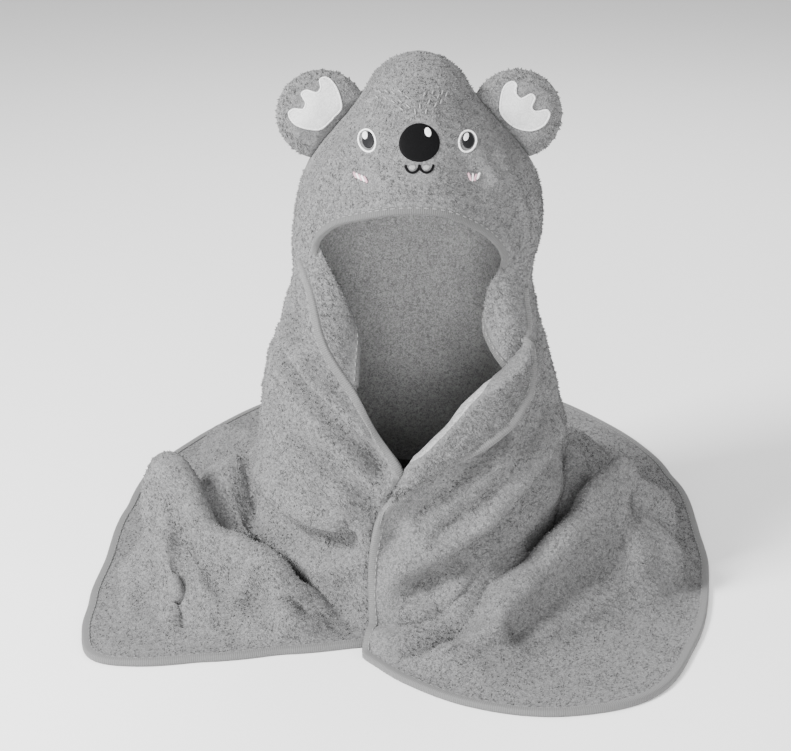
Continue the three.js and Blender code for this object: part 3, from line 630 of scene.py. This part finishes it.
# ---- edge tape ----
# One strip of smooth grey tape, folded round the whole edge of the towel and sewn through with a
# row of running stitches. It starts on the hood seam at the left temple, follows the left flap, the
# hem and the right flap's turned-back edge, and ends at the right temple.
TAPE_START_LEFT = 4.45 / LAST_LEVEL * HIP
TAPE_START_RIGHT = 5.0 / LAST_LEVEL * HIP
TAPE_STEP = 3.0


def even_path(points, *others, step):
    """A polyline and its other rows of vectors, read again at even steps of length."""
    length = np.concatenate([[0], np.cumsum(np.linalg.norm(np.diff(points, axis=0), axis=1))])
    places = np.linspace(0, length[-1], int(length[-1] / step) + 1)
    return [np.stack([np.interp(places, length, rows[:, axis]) for axis in range(3)], -1)
            for rows in (points, *others)]


def soften(rows, width):
    """The rows averaged with their neighbours, width of them on each side; the ends stay."""
    padded = np.concatenate([np.repeat(rows[:1], width, 0), rows, np.repeat(rows[-1:], width, 0)])
    window = np.hanning(2 * width + 3)[1:-1]
    return np.stack([np.convolve(padded[:, axis], window / window.sum(), "valid") for axis in range(3)], -1)


def rounded(middle_out, middle_up, half_out, half_up, corners=20, power=0.6):
    """A rounded rectangle as a superellipse: cosine and sine of the turn, each to a low power."""
    turn = np.linspace(0, 2 * np.pi, corners, endpoint=False)
    c, s = np.cos(turn), np.sin(turn)
    return np.stack([middle_out + half_out * np.sign(c) * np.abs(c) ** power,
                     middle_up + half_up * np.sign(s) * np.abs(s) ** power], -1)


def carry(name, path, out, up, profile):
    """A closed profile of (outwards, upwards) offsets carried along a path, with capped ends."""
    rings = (path[:, None] + out[:, None] * profile[None, :, :1] + up[:, None] * profile[None, :, 1:])
    rings[..., 2] = np.maximum(rings[..., 2], 0.2)
    stations, corners = rings.shape[:2]
    index = np.arange(stations * corners).reshape(stations, corners)
    beside = np.roll(index, -1, 1)
    sides = np.stack([index[:-1], beside[:-1], beside[1:], index[1:]], -1).reshape(-1, 4)
    ahead = path[1] - path[0]
    turned = np.dot(np.cross(out[0], up[0]), ahead) < 0
    if turned:
        sides = sides[:, ::-1]
    caps = [index[0].tolist()[::1 if turned else -1], index[-1].tolist()[::-1 if turned else 1]]
    length = np.concatenate([[0], np.cumsum(np.linalg.norm(np.diff(path, axis=0), axis=1))]) / 1000
    round_it = np.linspace(0, 1, corners, endpoint=False)
    uv = np.stack(np.meshgrid(length, round_it, indexing="ij"), -1).reshape(-1, 2)
    return add_mesh(name, rings.reshape(-1, 3), sides.tolist() + caps, uv)


def threads(name, middles, ways, ups, length, radius, flat=0.6):
    """Short raised stitches: at each middle, a capsule along its way, flattened along its up."""
    ring = np.linspace(0, 2 * np.pi, 6, endpoint=False)
    along = np.array([-0.5, -0.4, 0.0, 0.4, 0.5])
    thick = np.array([0.25, 0.8, 1.0, 0.8, 0.25])
    side = np.cross(ways, ups)
    spots = (middles[:, None, None] + ways[:, None, None] * (along * length)[None, :, None, None]
             + side[:, None, None] * (thick[:, None] * np.cos(ring) * radius)[None, :, :, None]
             + ups[:, None, None] * (thick[:, None] * np.sin(ring) * radius * flat)[None, :, :, None])
    count = len(along) * len(ring)
    index = np.arange(count).reshape(len(along), len(ring))
    beside = np.roll(index, -1, 1)
    sides = np.stack([index[:-1], index[1:], beside[1:], beside[:-1]], -1).reshape(-1, 4)
    starts = np.arange(len(middles)) * count
    faces = (starts[:, None, None] + sides[None]).reshape(-1, 4).tolist()
    faces += (starts[:, None] + index[0]).tolist() + (starts[:, None] + index[-1, ::-1]).tolist()
    return add_mesh(name, spots.reshape(-1, 3), faces)


def ribbed(name, colour, pitch):
    """Woven tape: fine cross ribs along its length, painted darker between the ribs as painted shade and
    lighter on them as painted light.
    """
    material, nodes, links, shader = new_finish(name)
    shader.inputs["Roughness"].default_value = 0.75
    shader.inputs["Specular IOR Level"].default_value = 0.2
    shader.inputs["Sheen Weight"].default_value = 0.15
    pattern = nodes.new("ShaderNodeUVMap")
    pattern.uv_map = "pattern"
    wave = nodes.new("ShaderNodeTexWave")
    wave.bands_direction = "X"
    wave.inputs["Scale"].default_value = 2 * np.pi / 20 / pitch
    wave.inputs["Distortion"].default_value = 0.4
    links.new(pattern.outputs["UV"], wave.inputs["Vector"])
    ribs = wave.outputs["Fac"]
    # Painted shade between the ribs and painted light on them, from the same waves as their bump.
    tone = two_tones(nodes, links, ribs, [c * 0.78 for c in colour], [c * 1.1 for c in colour])
    links.new(tone, shader.inputs["Base Color"])
    raise_by(nodes, links, ribs, shader, 0.5, 0.0005)
    return material


def thread_finish(name, colour, roughness=0.45, gloss=0.18):
    """Rayon thread: one colour with fine uneven shading and a soft gloss."""
    material, nodes, links, shader = new_finish(name)
    shader.inputs["Roughness"].default_value = roughness
    shader.inputs["Specular IOR Level"].default_value = gloss
    noise = nodes.new("ShaderNodeTexNoise")
    noise.inputs["Scale"].default_value = 1100
    links.new(nodes.new("ShaderNodeTexCoord").outputs["Object"], noise.inputs["Vector"])
    uneven = noise.outputs["Fac"]
    tone = two_tones(nodes, links, uneven, [c * 0.8 for c in colour],
                     [min(c * 1.15, 1) for c in colour], 0.3, 0.7)
    links.new(tone, shader.inputs["Base Color"])
    raise_by(nodes, links, uneven, shader, 0.5, 0.0004)
    return material


left_rows = slice(int(np.searchsorted(towel_rows, TAPE_START_LEFT)), None)
right_rows = slice(int(np.searchsorted(towel_rows, TAPE_START_RIGHT)), None)


def round_the_edge(grid):
    """A grid's values along the left edge, the hem and the right edge, in one row."""
    return np.concatenate([grid[left_rows, 0], grid[-1, 1:-1], grid[right_rows, -1][::-1]])


edge_path, edge_up = round_the_edge(towel_grid), round_the_edge(towel_normals)
edge_path, edge_up = even_path(edge_path, edge_up, step=TAPE_STEP)
edge_path, edge_up = soften(edge_path, 3), unit(soften(edge_up, 4))
ahead = unit(np.gradient(edge_path, axis=0))
edge_out = unit(np.cross(ahead, edge_up))
furthest = np.argmin(edge_path[:, 0])         # there the tape's outer side faces -X
edge_out *= -np.sign(edge_out[furthest, 0])
edge_up = np.cross(edge_out, ahead)
edge_up *= np.sign(edge_up[furthest, 2])
edge_tape = carry("edge_tape", edge_path, edge_out, edge_up, rounded(-1.6, -CLOTH / 2, 3.5, CLOTH / 2 + 1.3))
tape_finish = ribbed("ribbed_tape", (0.13, 0.13, 0.13), 0.0016)
edge_tape.data.materials.append(tape_finish)
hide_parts("edge_binding_left", "edge_binding_right", "edge_binding_hem")
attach(edge_tape, "towel")

STITCH_PITCH = 2                              # tape steps from one stitch to the next
stitch_line = np.concatenate([edge_path + edge_out * -4.2 + edge_up * 0.9,
                              edge_path + edge_out * -4.2 - edge_up * (CLOTH + 0.9)])
both_ways, both_ups = np.concatenate([ahead, ahead]), np.concatenate([edge_up, -edge_up])
showing = (np.arange(len(stitch_line)) % STITCH_PITCH == 0) & (stitch_line[:, 2] > 2.5)
edge_stitches = threads("edge_stitches", stitch_line[showing], both_ways[showing], both_ups[showing],
                        3.6, 0.55)
stitch_finish = thread_finish("grey_sewing_thread", (0.19, 0.19, 0.19))
edge_stitches.data.materials.append(stitch_finish)
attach(edge_stitches, "towel")

# ---- rim tape ----
# The same tape round the free edge of the hood panel, over the forehead and down inside both cheeks,
# with its own row of running stitches.
rim_path, rim_up = even_path(panel_grid[-1, 2:-2], panel_normals[-1, 2:-2], step=TAPE_STEP)
rim_path, rim_up = soften(rim_path, 2), unit(soften(rim_up, 5))
rim_ahead = unit(np.gradient(rim_path, axis=0))
rim_out = unit(np.cross(rim_ahead, rim_up))
middle_of_rim = len(rim_out) // 2
rim_out *= -np.sign(rim_out[middle_of_rim, 2])
rim_up = np.cross(rim_out, rim_ahead)
rim_up *= -np.sign(rim_up[middle_of_rim, 1])
rim_tape = carry("rim_tape", rim_path, rim_out, rim_up, rounded(-1.4, -CLOTH / 2, 3.1, CLOTH / 2 + 0.9))
# The rim's tape is the edge's tape painted darker: painted shade.
rim_tape.data.materials.append(ribbed("ribbed_rim_tape_painted_shade", (0.1, 0.1, 0.1), 0.0016))
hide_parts("hood_rim_binding")
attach(rim_tape, "towel")
rim_line = rim_path - rim_out * 3.2 + rim_up * 0.95
rim_stitches = threads("rim_stitches", rim_line[2:-2:2], rim_ahead[2:-2:2], rim_up[2:-2:2], 3.6, 0.6)
rim_stitches.data.materials.append(stitch_finish)
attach(rim_stitches, "towel")

# ---- ears ----
# Two round ears of the same fleece, sewn face to face, turned and lightly stuffed, and caught in
# the hood seam by their straight base. Each has a light patch with a satin-stitched edge.
EAR_RADIUS, EAR_REACH, EAR_BULGE, EAR_GAP = 35.0, 13.0, 8.4, -1.5
PATCHES = {
    "left": [(17, -6.5), (15.2, 7.9), (11.5, 22), (5, 29.5), (-0.8, 28.5), (-0.2, 22.5), (-3.5, 18.8),
             (-11.1, 20.4), (-14.9, 17.5), (-11.8, 11.2), (-14.1, 5.9), (-21.6, 5.6), (-25, 1.6),
             (-19.3, -6), (-2.8, -9.6), (13, -8.6)],
    "right": [(8, -11.5), (13.3, 1.6), (12.2, 14.4), (9.4, 23.2), (4, 26.4), (0.8, 24), (1.9, 19.2),
              (-2.7, 14), (-10.2, 17.2), (-13.2, 14.4), (-10.9, 7.2), (-14.7, 3.6), (-22.2, 4.8),
              (-24.8, 0.8), (-19.9, -7.2), (-9.4, -10.8)],
}
PATCH_MIDDLE = 4.0                            # height of a patch's middle over the ear's middle
PATCH_CLEAR = 6.0                             # a patch ends this far above the seam
PILE_CLEAR = 4.0                              # the pile of the ears ends this far above the seam
PATCH_SIDE, PATCH_SHARE = 24, 0.72            # no pile within this of the front's middle
EAR_LEVEL, EAR_TOP_LEVEL = 2.45, 2.15         # levels of the middle of the base, and a little higher
EAR_THETA = 93.0


def ear_outline(turn):
    """A circle cut off by the straight line of the base."""
    c, s = np.cos(turn), np.sin(turn)
    to_base = np.where(s < 0, (EAR_REACH - EAR_GAP) / np.maximum(-s, 1e-6), np.inf)
    reach = np.minimum(EAR_RADIUS, to_base)
    return np.stack([c * reach, s * reach], -1)


def ear_height(share):
    """Half the ear's thickness at a share of the way from its middle to its edge: a superellipse."""
    return EAR_BULGE * (1 - np.clip(share, 0, 1) ** 2.6) ** 0.62


def closed_rings(name, rings, first, last, uv=None):
    """A closed body from loops of points, with one point at each end."""
    count, corners = rings.shape[:2]
    vertices = np.concatenate([first[None], rings.reshape(-1, 3), last[None]])
    index = 1 + np.arange(count * corners).reshape(count, corners)
    beside = np.roll(index, -1, 1)
    sides = np.stack([index[:-1], index[1:], beside[1:], beside[:-1]], -1).reshape(-1, 4)
    start = np.stack([np.zeros(corners, int), index[0], beside[0]], -1)
    end = np.stack([np.full(corners, len(vertices) - 1), beside[-1], index[-1]], -1)
    return add_mesh(name, vertices, start.tolist() + sides.tolist() + end.tolist(), uv)


def smooth_outline(points, turn):
    """A closed Catmull-Rom curve through the points, read at turns from 0 to 1."""
    ring = np.array([*points[-1:], *points, *points[:2]], float)
    return np.stack([through(ring[:, axis], (turn % 1) * len(points) + 1) for axis in range(2)], -1)


patch_finish = plush("ear_patch", (0.56, 0.56, 0.56), 0.3, 0.3)
satin_grey = thread_finish("light_grey_satin", (0.62, 0.62, 0.62))
for side, sign in (("left", -1), ("right", 1)):
    base = body_point(np.array(EAR_LEVEL), np.array(-sign * EAR_THETA))
    slope = unit((body_point(np.array(EAR_TOP_LEVEL), np.array(-sign * EAR_THETA)) - base)
                 * np.array([1, 0, 1]))
    outwards = np.array([sign * slope[2], 0, -sign * slope[0]])
    front = np.array([0.0, -1.0, 0.0])

    def ear_place(flat, height):
        """A point of the ear from [along the seam, outwards] in its flat plane and a height."""
        return (base + slope * flat[..., :1] + outwards * (flat[..., 1:] + EAR_REACH)
                + front * np.asarray(height)[..., None])

    turn = np.linspace(0, 2 * np.pi, 88, endpoint=False)
    lap = np.linspace(0, np.pi, 45)[1:-1]
    share = np.sin(lap) ** 0.8
    flat = ear_outline(turn)[None] * share[:, None, None]
    height = np.sign(np.cos(lap))[:, None] * ear_height(share)[:, None] + np.zeros(len(turn))
    skin = ear_place(flat, height)
    skin = skin + front * (ripple(skin, 11, 20, 40, 18, 0.5) * (1 - share[:, None] ** 4))[..., None]
    ear = closed_rings(f"{side}_ear", skin, ear_place(np.zeros(2), EAR_BULGE),
                       ear_place(np.zeros(2), -EAR_BULGE))
    ear.data.materials.append(fleece)
    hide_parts(f"ear_{side}_front", f"ear_{side}_back", f"ear_{side}_filling")
    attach(ear, f"ear_{side}")
    skin_normals = np.cross(np.gradient(skin, axis=0), np.gradient(skin, axis=1))
    skin_normals *= np.sign(skin_normals[12, 20] @ front)
    patched = (height > 0) * (np.abs(flat[..., 0]) < PATCH_SIDE) * (share[:, None] < PATCH_SHARE)
    patched = patched | (flat[..., 1] < PILE_CLEAR - EAR_REACH)
    ear_pile = tufts(f"{side}_ear_pile", skin, skin_normals, 1500, 31, ~patched)
    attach(ear_pile, f"ear_{side}")

    corner = np.array(PATCHES[side], float)
    turned = np.stack([corner[:, 0] * -sign * slope[0] + corner[:, 1] * slope[2],
                       corner[:, 0] * -sign * outwards[0] + corner[:, 1] * outwards[2]], -1)
    middle = PATCH_MIDDLE * np.array([slope[2], outwards[2]])
    turned[:, 1] = np.maximum(turned[:, 1], PATCH_CLEAR - EAR_REACH)
    edge = smooth_outline((turned - middle).tolist(), np.linspace(0, 1, 120, endpoint=False))

    def on_ear(flat, above):
        """A point on the ear's front, above its cloth."""
        angle = np.arctan2(flat[..., 1], flat[..., 0])
        reach = np.linalg.norm(ear_outline(angle), axis=-1)
        share = np.linalg.norm(flat, axis=-1) / reach
        spot = ear_place(flat, ear_height(share))
        return spot + front * (ripple(spot, 11, 20, 40, 18, 0.5) * (1 - share ** 4) + above)[..., None]

    spread = np.array([0.12, 0.3, 0.5, 0.7, 0.85, 0.95, 1.0, 1.0, 0.6])
    above = np.array([0.9, 0.9, 0.9, 0.9, 0.9, 0.85, 0.6, -0.6, -0.8])
    loops = on_ear(middle + edge[None] * spread[:, None, None], np.repeat(above[:, None], len(edge), 1))
    patch = closed_rings(f"{side}_ear_patch", loops, on_ear(middle, np.array(above[0])),
                         on_ear(middle, np.array(above[-1])))
    patch.data.materials.append(patch_finish)
    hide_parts(f"ear_{side}_patch")
    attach(patch, f"ear_{side}")

    closed = np.concatenate([edge, edge[:1]]) + middle
    line = on_ear(closed, np.full(len(closed), 0.7))
    line_ahead = unit(np.gradient(line, axis=0))
    satin = carry(f"{side}_patch_stitching", line, unit(np.cross(line_ahead, front)),
                  np.repeat(front[None], len(line), 0), rounded(0, 0, 0.8, 0.5, 8, 1.0))
    satin.data.materials.append(satin_grey)
    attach(satin, f"ear_{side}")

# ---- face ----
# Machine embroidery on the hood panel in satin thread: a black nose, two eyes, a mouth with two
# light spots, pink strokes on the cheeks, and a tuft of short grey stitches on the forehead.
FACE = 6.0                                    # the hood's middle stands this far to the side


def read_grid(grid, row, column):
    """A grid's value between its points, by straight mixing of the four round the place."""
    row, column = np.clip(row, 0, len(grid) - 1.001), np.clip(column, 0, grid.shape[1] - 1.001)
    r, c = row.astype(int), column.astype(int)
    dr, dc = (row - r)[..., None], (column - c)[..., None]
    return ((grid[r, c] * (1 - dc) + grid[r, c + 1] * dc) * (1 - dr)
            + (grid[r + 1, c] * (1 - dc) + grid[r + 1, c + 1] * dc) * dr)


def on_hood(x, z, above):
    """The place on the hood's front with that x and z, found by Newton steps, raised along its
    normal."""
    row = np.full(np.shape(x), 0.7 * PANEL_ROWS)
    column = np.full(np.shape(x), 0.5 * PANEL_COLUMNS)
    for _ in range(40):
        here = read_grid(panel_grid, row, column)
        by_row = read_grid(panel_grid, row + 0.5, column) - read_grid(panel_grid, row - 0.5, column)
        by_column = read_grid(panel_grid, row, column + 0.5) - read_grid(panel_grid, row, column - 0.5)
        error_x, error_z = x - here[..., 0], z - here[..., 2]
        size = by_column[..., 0] * by_row[..., 2] - by_row[..., 0] * by_column[..., 2]
        size = np.where(np.abs(size) < 1e-6, 1e-6, size)
        column = column + np.clip((error_x * by_row[..., 2] - by_row[..., 0] * error_z) / size, -8, 8)
        row = row + np.clip((by_column[..., 0] * error_z - error_x * by_column[..., 2]) / size, -5, 5)
    out = unit(read_grid(panel_normals, row, column))
    return read_grid(panel_grid, row, column) + out * np.asarray(above)[..., None]


def hood_up(x, z):
    """The way out of the hood at that x and z."""
    return unit(on_hood(x, z, np.ones(np.shape(x))) - on_hood(x, z, np.zeros(np.shape(x))))


def oval(width, height, tilt=0.0, narrow=0.0):
    """An egg outline of 48 points: an ellipse, narrower at its top, turned by the tilt in degrees."""
    turn = np.linspace(0, 2 * np.pi, 48, endpoint=False)
    x = width / 2 * np.cos(turn) * (1 - narrow * np.sin(turn))
    z = height / 2 * np.sin(turn)
    c, s = np.cos(np.radians(tilt)), np.sin(np.radians(tilt))
    return np.stack([x * c - z * s, x * s + z * c], -1)


def sew_on(piece, finish, nodes):
    """Gives an embroidered piece its thread and its place on the towel."""
    piece.data.materials.append(finish)
    if nodes:
        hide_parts(*nodes)
    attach(piece, "towel")


def satin_pad(name, outline, x, z, lift, crown, finish, slot, *nodes):
    """A pad of satin stitches inside an outline, raised towards its middle, rooted in the cloth."""
    share = np.array([0.2, 0.45, 0.7, 0.88, 0.97, 1.0, 1.0, 0.6])
    height = np.concatenate([lift + crown * (1 - share[:5] ** 2), [lift * 0.6, -0.8, -1.0]])
    spots = np.array([x, z]) + outline[None] * share[:, None, None]
    loops = on_hood(spots[..., 0], spots[..., 1], np.repeat(height[:, None], len(outline), 1))
    top = on_hood(np.array(x), np.array(z), np.array(lift + crown))
    under = on_hood(np.array(x), np.array(z), np.array(-1.0))
    piece = closed_rings(name, loops, top, under)
    sew_on(piece, finish, nodes)


def satin_line(name, points, half_width, lift, finish, slot, *nodes):
    """A raised line of satin stitches along points of x and z."""
    line = on_hood(points[:, 0], points[:, 1], np.full(len(points), lift))
    up = hood_up(points[:, 0], points[:, 1])
    out = unit(np.cross(unit(np.gradient(line, axis=0)), up))
    piece = carry(name, line, out, up, rounded(0, 0, half_width, 0.6, 10, 1.0))
    sew_on(piece, finish, nodes)


black = thread_finish("black_satin", (0.0035, 0.0035, 0.0038), 0.6, 0.05)
white = thread_finish("white_satin", (0.82, 0.82, 0.82), 0.4)
dark_grey = thread_finish("dark_grey_satin", (0.011, 0.011, 0.012), 0.5, 0.1)
spot_grey = thread_finish("spot_grey_satin", (0.26, 0.26, 0.26), 0.5)
pink = thread_finish("pink_satin", (0.5, 0.31, 0.36), 0.5)
NOSE_Z, EYE_Z, EYE_LEFT, EYE_RIGHT = 381.0, 378.8, -38.5, 35.8
satin_pad("nose_stitching", oval(30, 25, 0, 0.08), FACE, NOSE_Z, 0.9, 0.45, black, "black_thread", "nose")
satin_pad("nose_glint_stitching", oval(4.4, 6.4, 24), FACE + 6.2, NOSE_Z + 6.4, 1.5, 0.3, white,
          "white_thread", "nose_glint")
for side, sign, x in (("left", -1, FACE + EYE_LEFT), ("right", 1, FACE + EYE_RIGHT)):
    ring = oval(13, 13.5, sign * 24, 0.08)
    satin_line(f"{side}_eye_outline", np.concatenate([ring, ring[:1]]) + np.array([x, EYE_Z]), 0.75, 0.5,
               white, "white_thread", f"eye_{side}_white")
    satin_pad(f"{side}_eye_stitching", oval(8.6, 10.4, sign * 20, 0.05), x + 0.6, EYE_Z + 0.5, 0.7, 0.5,
              dark_grey, "grey_thread", f"eye_{side}_iris")
    satin_pad(f"{side}_eye_glint_stitching", oval(3.6, 5.0, -20), x - 1.2, EYE_Z + 2.6, 1.5, 0.2, white,
              "white_thread", f"eye_{side}_glint")
    satin_pad(f"{side}_muzzle_stitching", oval(4.8, 3.0), FACE + sign * 5.2, 364.8, 0.5, 0.2, spot_grey,
              "patch", f"muzzle_{side}")

MOUTH_HALF, MOUTH_DEPTH, MOUTH_TOP = 10.3, 6.0, 367.5
sweep = np.linspace(0.04, 0.96, 25) * np.pi     # two half ellipses that meet in the middle
curve_x, curve_z = MOUTH_HALF / 2 * (1 - np.cos(sweep)), MOUTH_TOP - MOUTH_DEPTH * np.sin(sweep) ** 0.8
mouth_line = np.stack([FACE + np.concatenate([curve_x - MOUTH_HALF, curve_x]), np.tile(curve_z, 2)], -1)
satin_line("mouth_stitching", mouth_line, 0.95, 0.5, black, "black_thread", "mouth")


def strokes(name, spots, tilts, length, radius, finish, slot, *nodes):
    """Short stitches on the hood at spots of x and z, each tilted from the upright in degrees."""
    spots = np.array(spots, float)
    tilts = np.radians(np.array(tilts, float))
    step = np.stack([np.sin(tilts), np.cos(tilts)], -1)
    low, high = spots - step * length / 2, spots + step * length / 2
    flat = np.full(len(spots), 1.0)
    start, end = on_hood(low[:, 0], low[:, 1], flat), on_hood(high[:, 0], high[:, 1], flat)
    up = hood_up(spots[:, 0], spots[:, 1])
    piece = threads(name, (start + end) / 2, unit(end - start), up, length, radius, 0.7)
    sew_on(piece, finish, nodes)


strokes("left_cheek_pink", [(-41, 355.6), (-37.2, 354.8), (-33.4, 354)], [-38, -36, -34], 6.6, 1.3, pink,
        "pink_thread", "cheek_left")
strokes("left_cheek_white", [(-39.1, 355.2), (-35.3, 354.4)], [-38, -36], 6.6, 1.1, white, "white_thread")
strokes("right_cheek_pink", [(43, 355.4), (47.4, 354.2)], [-20, 30], 6.4, 1.3, pink,
        "pink_thread", "cheek_right")
strokes("right_cheek_white", [(45.2, 354.6), (49.6, 355)], [10, 34], 6.4, 1.1, white, "white_thread")
tuft_left = [(-23, 411), (-25, 407), (-18, 412), (-19, 407.5), (-13, 411.5), (-13, 406), (-8, 413), (-8, 407),
             (-3, 410), (-7, 402), (-2, 404)]
tuft_middle = [(3, 401), (6.5, 404.5), (11, 401)]
tuft_right = [(10, 412), (13, 407), (16, 413), (20, 410), (23, 412), (26, 410.5), (18, 405), (22, 406.5)]
tuft_grey = thread_finish("tuft_thread", (0.23, 0.23, 0.23))
strokes("forehead_tuft", tuft_left + tuft_middle + tuft_right,
        [-58] * len(tuft_left) + [-12, 0, 10] + [28] * len(tuft_right), 4.6, 0.62, tuft_grey, "tape")
